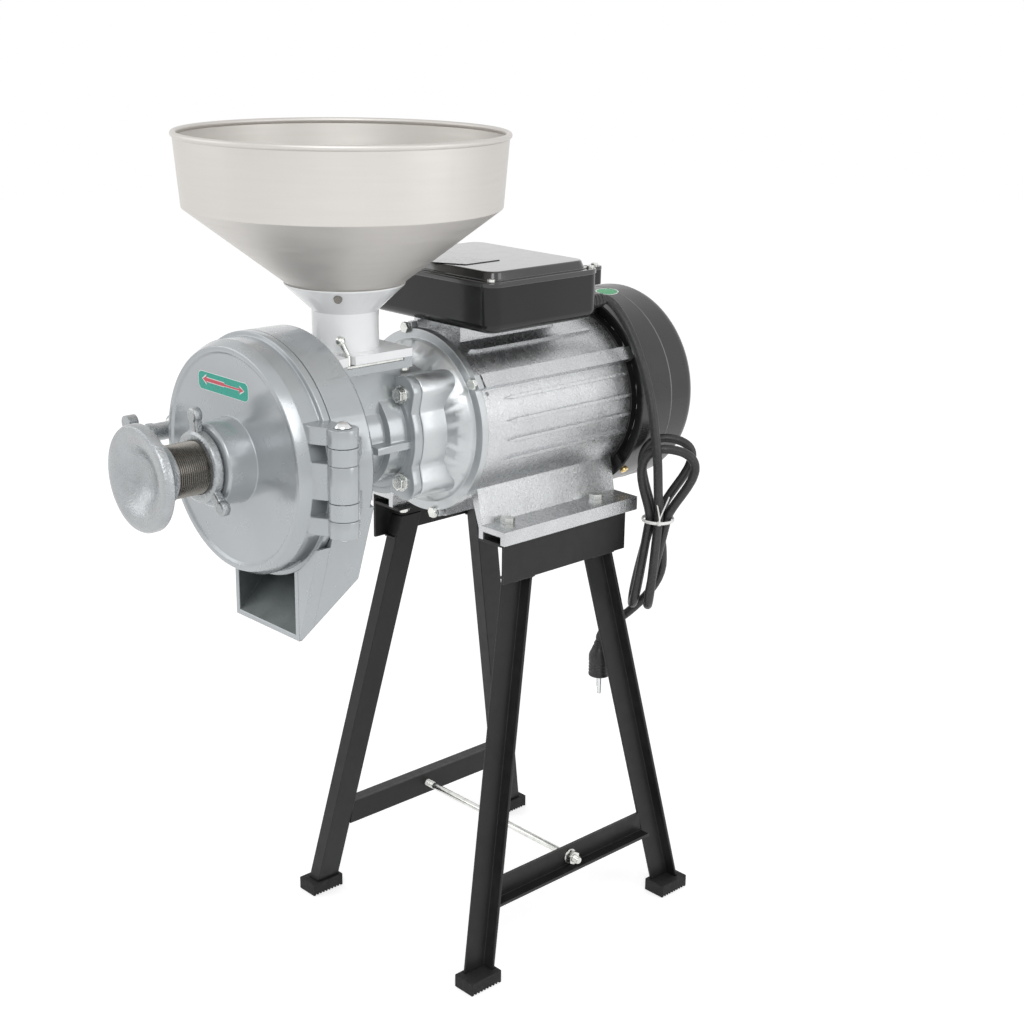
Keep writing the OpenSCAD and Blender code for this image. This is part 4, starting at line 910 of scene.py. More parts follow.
@dataclass
class MainsCord:
    """The mains cord: a lead from the gland, a hank under the white tie, and a tail with the plug."""

    radius: float = 4.75 * MM
    waist: float = 9.2
    middle: tuple[float, float, float] = (119.0, 115.5, 437.0)
    plug_place: tuple[float, float, float] = (62.0, 95.0, 250.0)
    plug_profile: tuple[tuple[float, float], ...] = (
        (10.9, 0.0), (11.8, 0.8), (11.9, 2.6), (11.2, 4.4), (11.9, 6.2), (11.2, 8.0), (11.9, 9.8), (11.2, 11.6),
        (11.9, 13.4), (11.2, 15.2), (11.9, 17.0), (11.9, 23.2), (11.2, 26.0), (9.2, 30.0), (7.9, 33.5), (6.9, 34.5),
        (7.0, 35.5), (6.2, 36.5), (6.9, 37.5), (6.0, 38.5), (5.4, 40.0))
    pin_offset: float = 9.5
    pin_profile: tuple[tuple[float, float], ...] = ((1.2, -18.0), (2.1, -17.3), (2.35, -16.0), (2.35, 0.5))
    tie_room: float = 1.8
    tie_angle: float = -44.0
    tie_wire: float = 0.75
    tie_ends: tuple[tuple[float, float], ...] = ((0.30, 29.0), (-0.12, 23.0))
    straight: float = 9.5
    rings: int = 24
    narrow: float = 0.6
    loops: tuple[tuple[float, ...], ...] = (
        (-90, -18, -92, 0, -24, -12, 0, 0), (-18, 198, 78, 44, 0, 3, -8, 0),
        (198, 126, -95, 0, -22, -16, 4, 0), (126, 54, 78, -44, 0, 3, 7, 9.5))
    lead: tuple[tuple[float, float, float], ...] = (
        (68, 75, 664), (68, 80, 664), (70, 87, 660), (78, 93, 648), (89, 97, 630), (101, 99, 606),
        (111, 100, 581), (120, 99, 556), (127, 97, 531), (132, 96, 508), (133, 97, 487), (130, 102, 467))
    tail: tuple[tuple[float, float, float], ...] = (
        (113, 129, 412), (112, 133, 395), (109, 135, 372), (100, 130, 350), (88, 118, 330), (76, 106, 315),
        (66, 98, 303), (62, 95, 295), (62, 95, 290))
    across: Vector = field(init=False)
    away: Vector = field(init=False)

    def __post_init__(self) -> None:
        """Works out the hank's own axes."""
        self.across = Vector((0.69, 0.72, 0)).normalized()
        self.away = Vector((-self.across.y, self.across.x, 0))

    def strand(self, angle: float) -> Vector:
        """Returns where a strand passes through the tie, in millimetres."""
        turn = math.radians(angle)
        return Vector(self.middle) + self.waist * (math.cos(turn) * self.across + math.sin(turn) * self.away)

    def loop_point(self, loop: Sequence[float], share: float) -> Vector:
        """Returns a point of one loop.

        Args:
            loop: Start and end angle, height, half widths, drifts, and rise of the end.
            share: How far round the loop it is, 0 to 1.

        Returns:
            The point, in millimetres.
        """
        turn = math.tau * share
        height = math.sin(turn / 2) ** 2
        swing = math.sin(turn) * height
        eased = share * share * (3 - 2 * share)
        wide = loop[3] * swing
        wide *= self.narrow if wide < 0 else 1.0
        point = self.strand(loop[0]) * (1 - eased) + self.strand(loop[1]) * eased
        point += (wide + loop[5] * height) * self.across
        point += (loop[4] * swing + loop[6] * height) * self.away
        return point + Vector((0, 0, loop[2] * height + loop[7] * eased))

    def route(self) -> list[Vector]:
        """Returns the cord's whole route from the gland to the plug, in metres."""
        rise = Vector((0, 0, 1))
        start = self.strand(self.loops[0][0]) + self.straight * rise
        end = self.strand(self.loops[-1][1])
        points = [Vector(p) for p in self.lead] + [start + 5 * rise, start]
        points += [self.loop_point(loop, i / self.rings) for loop in self.loops for i in range(self.rings)]
        points += [end + self.straight * rise, end, end - 5 * rise]
        points += [Vector(p) for p in self.tail]
        return [p * MM for p in points]

    @staticmethod
    def length(points: Sequence[Vector]) -> float:
        """Returns the length along a route."""
        return sum((b - a).length for a, b in zip(points, points[1:]))

    def build(self) -> None:
        """Makes the cord, its plug, its pins and its tie."""
        points = self.route()
        curve = round_curve("mains_cord", self.radius, 5)
        curve.resolution_u = 3
        spline = curve.splines.new("BEZIER")
        spline.bezier_points.add(len(points) - 1)
        for knot, point in zip(spline.bezier_points, points):
            knot.co = point
            knot.handle_left_type = knot.handle_right_type = "AUTO"
        cord = linked("mains_cord", curve)
        fit(cord, Body.MILL, CORD, ("cord_lead", "cord_hank", "cord_tail"))
        extras = [self.plug_body(), *self.plug_pins(), self.tie()]

    def plug_body(self) -> bpy.types.Object:
        """Makes the moulded round plug with grip ribs and a ringed neck."""
        x, y, z = (c * MM for c in self.plug_place)
        body = turned("plug_body", self.plug_profile, (x, y, z), Axis.UP, 48, Ends.CAPPED)
        soften(body, 0.35 * MM, 2)
        return fit(body, Body.MILL, CORD, ("plug",))

    def plug_pins(self) -> list[bpy.types.Object]:
        """Makes the plug's two round pins with rounded tips."""
        x, y, z = (c * MM for c in self.plug_place)
        pins = []
        for number, side in enumerate((-self.pin_offset, self.pin_offset)):
            place = (x + side * self.away.x * MM, y + side * self.away.y * MM, z)
            pin = turned(f"plug_pin_{number + 1}", self.pin_profile, place, Axis.UP, 24, Ends.CAPPED)
            pins.append(fit(pin, Body.MILL, BRIGHT_STEEL))
        return pins

    def tie(self) -> bpy.types.Object:
        """Makes the white twist tie: a band round the strands and two twisted ends."""
        inner = self.waist + self.radius / MM + self.tie_room
        x, y, z = (c * MM for c in self.middle)
        band = turned("twist_tie", [(inner, -1.5), (inner + 1.0, -1.6), (inner + 1.4, -0.8), (inner + 1.4, 0.8),
                                    (inner + 1.0, 1.6), (inner, 1.5)], (x, y, z), Axis.UP, 56, Ends.JOINED)
        turn = math.radians(self.tie_angle)
        root = Vector((math.cos(turn), math.sin(turn), 0)) * (inner + 0.7) * MM + Vector((x, y, z))
        side = Vector((-math.sin(turn), math.cos(turn), 0))
        ends = []
        for number, (lean, height) in enumerate(self.tie_ends):
            path = [root + (side * lean * height * s + Vector((0, 0, 1)) * height * s) * MM
                    + Vector((math.cos(3.2 * s), math.sin(3.2 * s), 0)) * 0.8 * MM * (1 if number else -1)
                    for s in (0.0, 0.12, 0.25, 0.4, 0.55, 0.7, 0.85, 1.0)]
            ends.append(pipe(f"tie_end_{number + 1}", path, self.tie_wire * MM))
        knot = turned("tie_knot", [(1.2, -2.4), (2.3, -1.5), (2.6, 0.0), (2.3, 1.5), (1.2, 2.4)],
                      tuple(root), Axis.UP, 20, Ends.CAPPED)
        tie = joined(band, [knot, *ends])
        return fit(tie, Body.MILL, WHITE_TIE, ("hank_tie",))


def rounded_copy(node: bpy.types.Object, name: str, width: float, segments: int = 2) -> bpy.types.Object:
    """Copies a CAD node, merges its loose triangles into whole faces and rounds its edges.

    Args:
        node: The CAD node, which is left alone.
        name: The copy's name.
        width: The rounding's width, in millimetres.
        segments: Steps in the rounding.

    Returns:
        The rounded copy.
    """
    piece = linked(name, node.data.copy())
    piece.data.materials.clear()
    activate(piece)
    edit_all()
    bpy.ops.mesh.remove_doubles(threshold=SAME_CAD_POINT)
    bpy.ops.mesh.dissolve_limited(angle_limit=math.radians(0.8))
    bpy.ops.object.mode_set(mode="OBJECT")
    bpy.ops.object.shade_smooth_by_angle(angle=math.radians(32))
    return soften(piece, width * MM, segments, 33.0)


def rounded_outline(width: float, height: float, radius: float, steps: int = 6) -> list[tuple[float, float]]:
    """Returns the outline of a rounded rectangle about its middle, in millimetres."""
    points = []
    for number, (sx, sy) in enumerate(((1, 1), (-1, 1), (-1, -1), (1, -1))):
        for k in range(steps + 1):
            turn = math.radians(90 * number + 90 * k / steps)
            points.append((sx * (width / 2 - radius) + radius * math.cos(turn),
                           sy * (height / 2 - radius) + radius * math.sin(turn)))
    return points


@dataclass
class Stand:
    """The angle-iron stand: rounded bars and legs, weld beads, tie rod with threaded ends and rubber feet."""

    bar_low: float = 407.0
    leg_top: tuple[float, float] = (81.0, 57.0)
    rod_height: float = 87.0
    rod_half: float = 131.0
    rod_radius: float = 3.6
    thread_radius: float = 4.0
    thread_length: float = 30.0
    bead: float = 1.7
    bead_step: float = 1.6
    seams: tuple[tuple[tuple[float, float], tuple[float, float]], ...] = (
        ((16.6, -15), (16.6, 15)), ((0.5, 14.6), (15, 14.6)))
    irons: tuple[str, ...] = (
        "top_bars", "leg_front_right", "leg_rear_right", "leg_front_left", "leg_rear_left", "crossbars")

    def bead_line(self, name: str, start: Vector, end: Vector) -> bpy.types.Object:
        """Lays one weld bead with its ripples between two points in millimetres."""
        count = max(6, int((end - start).length / self.bead_step))
        side = (end - start).cross(Vector((0, 0, 1)))
        side = side.normalized() if side.length > 1e-6 else Vector((1, 0, 0))
        path = [(start.lerp(end, k / count) + side * 0.35 * math.sin(2.4 * k)) * MM for k in range(count + 1)]
        bead = pipe(name, path, self.bead * MM, 2)
        ripple = bpy.data.textures.new(f"{name}_ripple", "CLOUDS")
        ripple.noise_scale = 0.003
        apply(bead, "DISPLACE", texture=ripple, strength=0.0009, mid_level=0.5, texture_coords="GLOBAL")
        return bead

    def welds(self) -> None:
        """Welds the legs to the top bars, inside and out."""
        beads = []
        x, y = self.leg_top
        for sx in (-1, 1):
            for sy in (-1, 1):
                for number, seam in enumerate(self.seams):
                    start, end = (Vector((sx * (x + off_x), sy * (y + off_y), self.bar_low - 0.4))
                                  for off_x, off_y in seam)
                    beads.append(self.bead_line(f"weld_{sx}_{sy}_{number}".replace("-", "m"), start, end))
        fit(merged("leg_welds", beads), Body.MILL, WELD)

    def tie_rod(self) -> None:
        """Makes the tie rod: a bright bar with rolled thread at both ends."""
        place = (0.0, 0.0, self.rod_height * MM)
        plain = self.rod_half - self.thread_length
        bar = turned("tie_rod_bar", [(self.rod_radius - 0.4, -plain - 1), (self.rod_radius, -plain),
                                     (self.rod_radius, plain), (self.rod_radius - 0.4, plain + 1)],
                     place, Axis.RIGHT, 32)
        ends = [threaded(f"rod_thread_{side}", self.thread_radius, 1.25, 0.55, *span, place, Axis.RIGHT, 28)
                for side, span in (("left", (-self.rod_half, -plain)), ("right", (plain, self.rod_half)))]
        fit(joined(bar, ends), Body.MILL, ZINC, ("tie_rod",))

    def build(self, nodes: dict[str, bpy.types.Object]) -> None:
        """Rounds the irons, and adds welds and the threaded rod."""
        for name in self.irons:
            fit(rounded_copy(nodes[name], f"{name}_iron", 0.7), Body.MILL, BLACK_COAT, (name,))
        fit(rounded_copy(nodes["rubber_feet"], "ribbed_feet", 0.8), Body.MILL, FOOT_RUBBER,
            ("rubber_feet",))
        self.welds()
        self.tie_rod()


@dataclass
class Door:
    """The drum's door: pressed rim, flat face, boss, hinge barrels with webs, clamp ear and label."""

    radius: float = 112.0
    back: float = -292.3
    face: float = -328.0
    step: float = -300.0
    boss: float = 39.0
    boss_front: float = -355.0
    bore: float = 24.05
    hinge: tuple[float, float] = (127.0, -300.0)
    barrel: float = 13.5
    knuckles: tuple[tuple[float, float], ...] = ((34.0, 50.0), (-14.6, 18.2), (-46.5, -30.5))
    clamp_x: float = -126.0
    ear: float = 14.0
    ear_front: float = -308.0
    pin_bore: float = 5.05
    label_place: tuple[float, float] = (-10.7, 621.3)
    arrow: tuple[tuple[float, float], ...] = (
        (-31.5, 1.4), (-24.5, 5.0), (-25.4, 3.0), (1.5, 2.9), (3.0, 1.9), (25.5, 1.7), (25, 3.8), (32, 0.9),
        (25, -2.0), (25.5, 0.3), (3.0, 0.1), (1.5, -0.3), (-25.4, -0.2), (-24.5, -2.2))

    def shell(self) -> bpy.types.Object:
        """Turns the door's dish with its stepped rim and its boss."""
        r, f, y = self.radius, self.face, self.step
        corners = [(r - 16, self.back), (r, self.back), (r, y), (r - 5, y), (r - 5, f + 10), (r - 10, f),
                   (r - 15, f), (r - 17, f + 2), (self.boss, f + 2), (self.boss - 1.0, self.boss_front + 2),
                   (self.boss - 3.0, self.boss_front), (self.bore, self.boss_front), (self.bore, f + 8),
                   (r - 16, f + 8)]
        return turned("door_shell", filleted(corners, 1.6, 3, True), (0, 0, AXIS_Z), Axis.REAR, 120, Ends.JOINED)

    def hinges(self) -> list[bpy.types.Object]:
        """Makes the hinge barrels and the webs that carry them."""
        x, y = self.hinge
        made = []
        for number, (low, high) in enumerate(self.knuckles):
            ring = [(self.pin_bore, low), (self.barrel, low), (self.barrel, high), (self.pin_bore, high)]
            made.append(turned(f"barrel_{number}", filleted(ring, 0.9, 2, True), (x * MM, y * MM, AXIS_Z),
                               Axis.UP, 56, Ends.JOINED))
            outline = [(self.radius - 18, self.back), (self.radius + 2, self.back), (x - 4, y + 7.3),
                       (x - 6, y - 9.5), (self.radius - 6, self.face + 10), (self.radius - 18, self.face + 10)]
            made.append(sheet_from(f"hinge_web_{number}", outline, high - low,
                                   Matrix.Translation((0, 0, AXIS_Z + low * MM)), 0.9))
        return made

    def ear_pieces(self) -> list[bpy.types.Object]:
        """Makes the ear that takes the clamp's stud."""
        ring = [(self.pin_bore, self.ear_front), (self.ear, self.ear_front), (self.ear, self.back),
                (self.pin_bore, self.back)]
        eye = turned("ear_eye", filleted(ring, 1.0, 2, True), (self.clamp_x * MM, 0, AXIS_Z), Axis.REAR, 48,
                     Ends.JOINED)
        middle = AXIS_Z / MM
        bar = block("ear_bar", (self.clamp_x + 6, self.ear_front, middle - self.ear),
                    (-self.radius + 10, self.back, middle + self.ear), 1.2, 3)
        return [eye, bar]

    def label(self) -> None:
        """Sticks the label on: white rim, teal field and a red double arrow."""
        x, z = self.label_place
        rim = [(u * 1.035 - 0.1, 1.3 + (v - 1.3) * 1.42) for u, v in self.arrow]
        sheets = (("label_border", rounded_outline(77.5, 17.3, 5.4), -0.12, LABEL_WHITE),
                  ("label_field", rounded_outline(76.3, 16.1, 4.8), 0.0, LABEL_TEAL),
                  ("label_arrow_rim", rim, 0.07, LABEL_WHITE), ("label_arrow", self.arrow, 0.14, LABEL_RED))
        for name, outline, proud, finish in sheets:
            place = (Matrix.Translation(Vector((x, self.face + 2 - proud, z)) * MM)
                     @ Matrix.Rotation(math.pi / 2, 4, "X"))
            fit(sheet_from(name, outline, 0.3, place, 0), Body.DOOR, finish)

    def build(self) -> None:
        """Makes the door and its label."""
        door = merged("drum_door", [self.shell(), *self.hinges(), *self.ear_pieces()])
        fit(door, Body.DOOR, GREY_PAINT, ("door",))
        self.label()


@dataclass
class Adjuster:
    """Adjusting screw with its thread, the flared handwheel and the two-armed lock nut."""

    screw: float = 24.0
    pitch: float = 2.0
    hub_back: float = -398.0
    rim_back: float = -416.0
    rim_front: float = -425.0
    wheel: float = 47.5
    hub: float = 27.0
    mouth: tuple[tuple[float, float], ...] = (
        (14, 1.5), (18.5, 3.4), (22.5, 6.0), (26, 9.0), (30, 11.8), (35, 13.8), (41.5, 14.8), (45.5, 15.0))
    nut_back: float = -355.6
    arm_angles: tuple[int, ...] = (95, -42)
    arm_reach: float = 46.0
    arm_middle: float = 5.2
    arm_half: float = 3.8
    knob: tuple[tuple[float, float], ...] = ((6.0, -4.3), (6.8, -3.0), (7.0, 0.0), (6.8, 3.0), (6.0, 4.3))

    def thread(self) -> None:
        """Winds the screw's thread."""
        made = threaded("adjusting_thread", self.screw, self.pitch, 1.1, self.hub_back - 10, -330.1,
                        (0, 0, AXIS_Z), Axis.REAR, 72)
        fit(made, Body.WHEEL, DARK_STEEL, ("adjusting_screw",))

    def handwheel(self) -> None:
        """Turns the trumpet-shaped wheel."""
        deep = self.hub_back - self.rim_back
        outer = [(self.hub + (self.wheel - self.hub) * (1 - math.cos(math.radians(a))),
                  self.hub_back - deep * math.sin(math.radians(a))) for a in range(0, 91, 9)]
        lip = filleted([(self.wheel, self.rim_front + 3), (self.wheel - 1.5, self.rim_front + 0.4),
                        (self.wheel - 5, self.rim_front), (self.wheel - 9, self.rim_front + 0.4)], 1.5, 3)
        inner = [(self.wheel - inset, self.rim_front + depth) for inset, depth in self.mouth]
        profile = [(24.5, self.hub_back - 0.05), (26.2, self.hub_back)] + outer + lip + inner
        wheel = turned("wheel_cup", profile, (0, 0, AXIS_Z), Axis.REAR, 96, Ends.CAPPED)
        fit(wheel, Body.WHEEL, CAST_SILVER, ("handwheel",))

    def nut_arm(self, angle: int) -> list[bpy.types.Object]:
        """Makes one arm of the lock nut and the knob at its end.

        Args:
            angle: Where it points, from +X towards +Z, in degrees.

        Returns:
            The arm and the knob.
        """
        place = (Matrix.Translation((0, (self.nut_back - self.arm_middle) * MM, AXIS_Z))
                 @ Matrix.Rotation(math.radians(-angle), 4, "Y"))
        arm = block(f"nut_arm_{angle}".replace("-", "m"), (28, -self.arm_half, -self.arm_middle),
                    (self.arm_reach, self.arm_half, self.arm_middle), 1.6, 3)
        knob = turned(f"{arm.name}_knob", self.knob, (self.arm_reach * MM, 0, 0), Axis.REAR, 28, Ends.CAPPED)
        soften(knob, 1.2 * MM, 3)
        for part in (arm, knob):
            part.data.transform(place)
        return [arm, knob]

    def lock_nut(self) -> None:
        """Makes the lock nut: a ring with two cast arms that end in knobs."""
        back = self.nut_back
        ring = [(self.screw + 0.1, back - 10.4), (29.5, back - 10.4), (32.2, back - 8.6), (32.8, back - 2.5),
                (31.0, back - 0.2), (self.screw + 0.1, back - 0.2)]
        nut = turned("cast_lock_nut", filleted(ring, 0.9, 2, True), (0, 0, AXIS_Z), Axis.REAR, 72, Ends.JOINED)
        arms = [part for angle in self.arm_angles for part in self.nut_arm(angle)]
        fit(joined(nut, arms), Body.LOCK_NUT, CAST_SILVER, ("lock_nut",))

    def build(self) -> None:
        """Makes the screw's thread, the wheel and the nut."""
        self.thread()
        self.handwheel()
        self.lock_nut()


@dataclass
class ControlBox:
    """The motor's control box: a drawn tub, an overlapping lid with a raised top, and a plate on it."""

    half: float = 90.0
    front: float = -98.0
    rear: float = 50.0
    low: float = 652.0
    seam: float = 697.0
    rim: float = 701.0
    top: float = 709.0
    corner: float = 15.0
    wall: float = 3.0
    lap: float = 0.9
    tab: tuple[float, float] = (74.0, 56.0)
    tab_half: float = 7.0
    plate_outline: tuple[tuple[float, float], ...] = ((-6.3, -96.0), (30.9, -75.6), (30.5, -31.1), (-9.3, -52.0))

    def outline(self, inset: float, corner: float) -> list[tuple[float, float]]:
        """Returns the box's outline moved in, with this corner radius."""
        return rounded_outline(2 * (self.half - inset), self.rear - self.front - 2 * inset, corner, 8)

    def slab(self, name: str, inset: float, corner: float, low: float, high: float) -> bpy.types.Object:
        """Makes a slab with the box's outline between two heights."""
        middle = (self.front + self.rear) / 2
        return sheet_from(name, self.outline(inset, corner), high - low,
                          Matrix.Translation(Vector((0, middle, low)) * MM), 0)

    def ear(self, name: str, low: float, high: float, grow: float) -> bpy.types.Object:
        """Makes the ear behind the box that takes the fifth screw."""
        x, y = self.tab
        half = self.tab_half + grow
        outline = [(-half, -9), (half, -9)]
        outline += [(half * math.cos(math.radians(a)), half * math.sin(math.radians(a))) for a in range(0, 181, 15)]
        return sheet_from(name, outline, high - low, Matrix.Translation(Vector((x, y, low)) * MM), 0.5)

    def tub(self) -> bpy.types.Object:
        """Draws the tub: rounded below, hollow inside."""
        tub = self.slab("box_tub", 0, self.corner, self.low, self.seam)
        round_level(tub, self.low, 8.5, 6)
        hollow(tub, self.seam, self.wall, self.seam - self.low - self.wall)
        return joined(reshaded(tub), [self.ear("tub_ear", self.seam - 14, self.seam - 0.2, 0)])

    def lid(self) -> bpy.types.Object:
        """Draws the lid: a rim that laps over the tub, and the raised top."""
        rim = self.slab("box_lid", -self.lap, self.corner + self.lap, self.seam - 1.2, self.rim)
        round_level(rim, self.rim, 1.3, 3)
        round_level(rim, self.seam - 1.2, 0.9, 3)
        raised = self.slab("lid_raised", 8.0, 13.0, self.rim - 1, self.top)
        tapered(raised, self.top, (0, (self.front + self.rear) / 2), (0.966, 0.957))
        round_level(raised, self.top, 1.5, 4)
        ledge = self.slab("lid_ledge", 6.0, 14.0, self.rim - 1, self.rim + 0.9)
        round_level(ledge, self.rim + 0.9, 0.7, 2)
        return joined(reshaded(rim), [reshaded(raised), reshaded(ledge),
                                      self.ear("lid_ear", self.seam, self.rim, 0.3)])

    def plate(self) -> None:
        """Lays the bare plate on the lid."""
        place = Matrix.Translation((0, 0, (self.top - 0.1) * MM))
        plate = sheet_from("lid_plate", self.plate_outline, 0.9, place, 0.3)
        fit(plate, Body.MILL, PLATE)

    def build(self) -> None:
        """Makes the tub, the lid and the plate."""
        fit(self.tub(), Body.MILL, TUB_BLACK, ("control_box",))
        fit(self.lid(), Body.MILL, BOX_GLOSS, ("control_box_lid",))
        self.plate()


@dataclass
class Hopper:
    """The spun funnel with its rolled rim."""

    axis_y: float = -197.0
    foot: tuple[float, float] = (35.6, 688.0)
    knee: tuple[float, float] = (145.0, 771.5)
    rim: tuple[float, float] = (149.4, 835.4)
    sheet: float = 1.2
    bead: float = 2.6

    def build(self) -> None:
        """Turns the funnel."""
        (foot_r, foot_z), (knee_r, knee_z), (rim_r, rim_z) = self.foot, self.knee, self.rim
        outside = filleted([(foot_r, foot_z), (knee_r, knee_z), (rim_r + 0.5, rim_z - 3)], 1.6, 3)
        roll = [(rim_r + self.bead * math.cos(math.radians(a)), rim_z + self.bead * math.sin(math.radians(a)))
                for a in range(-60, 221, 20)]
        inside = filleted([(rim_r + 0.5 - self.sheet, rim_z - 3), (knee_r - self.sheet, knee_z + 0.6),
                           (foot_r - 1.9, foot_z)], 1.6, 3)
        funnel = turned("funnel", outside + roll + inside, (0, self.axis_y * MM, 0), Axis.UP, 160, Ends.JOINED)
        fit(funnel, Body.MILL, STAINLESS, ("hopper",))


@dataclass
class MotorTrim:
    """What the motor's castings carry: rib tips, rear lugs, and the fan cover's crease, baffle and sticker."""

    frame_radius: float = 87.0
    cover_radius: float = 104.0
    rib_angles: tuple[float, ...] = (21.0, 6.6, -6.0, -19.0, 159.0, 173.4, 186.0, 199.0)
    rib_front: float = -62.0
    top_rib_angles: tuple[float, ...] = (57.0, 123.0)
    top_rib_front: float = -77.0
    tip: tuple[tuple[float, float], ...] = ((-1.75, 0.5), (0, -9.5), (1.75, 0.5))
    tip_height: float = 3.6
    lug_angles: tuple[float, ...] = (33.0, 103.0, 213.0, 283.0)
    lug_half: float = 7.1
    lug_y: float = 101.0
    baffle: tuple[float, float, float] = (88.6, 109.4, 110.6)
    crease_y: float = 146.0
    sticker_angle: float = 81.0
    sticker_y: float = 137.0
    sticker_half: tuple[float, float] = (13.0, 9.0)

    def about(self, angle: float, radius: float, y: float) -> Matrix:
        """Returns a place on the motor, its own +Z pointing outwards and its own +Y to the fan.

        Args:
            angle: Angle from +X towards +Z, in degrees.
            radius: Distance from the axis, in millimetres.
            y: Place along the motor, in millimetres.

        Returns:
            The place, in metres.
        """
        return (Matrix.Translation((0, y * MM, AXIS_Z)) @ Matrix.Rotation(math.radians(90 - angle), 4, "Y")
                @ Matrix.Translation((0, 0, radius * MM)))

    def rib_tips(self) -> None:
        """Draws each rib out to a point at its front."""
        tips = []
        for angles, front in ((self.rib_angles, self.rib_front), (self.top_rib_angles, self.top_rib_front)):
            for angle in angles:
                tips.append(sheet_from(f"rib_tip_{len(tips)}", self.tip, self.tip_height,
                                       self.about(angle, self.frame_radius - 0.6, front), 0.35))
        fit(merged("rib_tips", tips), Body.MILL, HAMMERED)

    def rear_lugs(self) -> None:
        """Shows the rear bell's lugs in the frame's silver."""
        lugs = []
        for angle in self.lug_angles:
            lug = block(f"rear_lug_{int(angle)}", (-self.lug_half, 0.75, self.frame_radius - 7),
                        (self.lug_half, 7.6, self.frame_radius + 9.1), 0.9, 3)
            lug.data.transform(self.about(angle, 0, self.lug_y))
            lugs.append(lug)
        fit(merged("rear_lugs", lugs), Body.MILL, CAST_ALUMINIUM)

    def cover_trim(self) -> None:
        """Adds the cover's baffle ring, its pressed crease coloured light grey as a painted highlight, and the round
        sticker.
        """
        r, y = self.cover_radius, self.crease_y
        bore, low, high = self.baffle
        baffle = turned("cover_baffle", filleted([(bore, low), (r - 2.1, low), (r - 2.1, high), (bore, high)],
                                                 0.4, 2, True), (0, 0, AXIS_Z), Axis.REAR, 120, Ends.JOINED)
        fit(baffle, Body.MILL, BLACK_COAT)
        # the crease ring is light grey, a painted highlight on the black cover
        crease = turned("cover_crease_highlight", [(r - 0.4, y - 0.9), (r + 0.05, y - 0.7), (r + 0.3, y), (r + 0.05, y + 0.7),
                                         (r - 0.4, y + 0.9)], (0, 0, AXIS_Z), Axis.REAR, 160, Ends.JOINED)
        fit(crease, Body.MILL, CREASE_HIGHLIGHT)
        for name, grow, proud, finish in (("sticker_rim", 1.2, 0.05, LABEL_WHITE),
                                          ("sticker", 0.0, 0.12, LABEL_GREEN)):
            fit(self.sticker(name, grow, proud), Body.MILL, finish)

    def sticker(self, name: str, grow: float, proud: float) -> bpy.types.Object:
        """Lays an oval on the cover's skin.

        Args:
            name: The piece's name.
            grow: How far it reaches past the sticker's own edge, in millimetres.
            proud: How far it stands off the skin, in millimetres.

        Returns:
            The oval.
        """
        half_y, half_round = (half + grow for half in self.sticker_half)
        deselect()
        bpy.ops.mesh.primitive_grid_add(x_subdivisions=16, y_subdivisions=16, size=2)
        oval = bpy.context.object
        oval.name = name
        radius = self.cover_radius + proud
        for vertex in oval.data.vertices:
            u, v = vertex.co.x, vertex.co.y
            u, v = u * math.sqrt(1 - v * v / 2), v * math.sqrt(1 - u * u / 2)
            turn = math.radians(self.sticker_angle) + v * half_round / radius
            vertex.co = Vector((radius * math.cos(turn), self.sticker_y + u * half_y,
                                AXIS_Z / MM + radius * math.sin(turn))) * MM
        apply(oval, "SOLIDIFY", thickness=0.1 * MM, offset=-1)
        return reshaded(oval)

    def build(self) -> None:
        """Makes the ribs' tips, the lugs and the cover's trim."""
        self.rib_tips()
        self.rear_lugs()
        self.cover_trim()


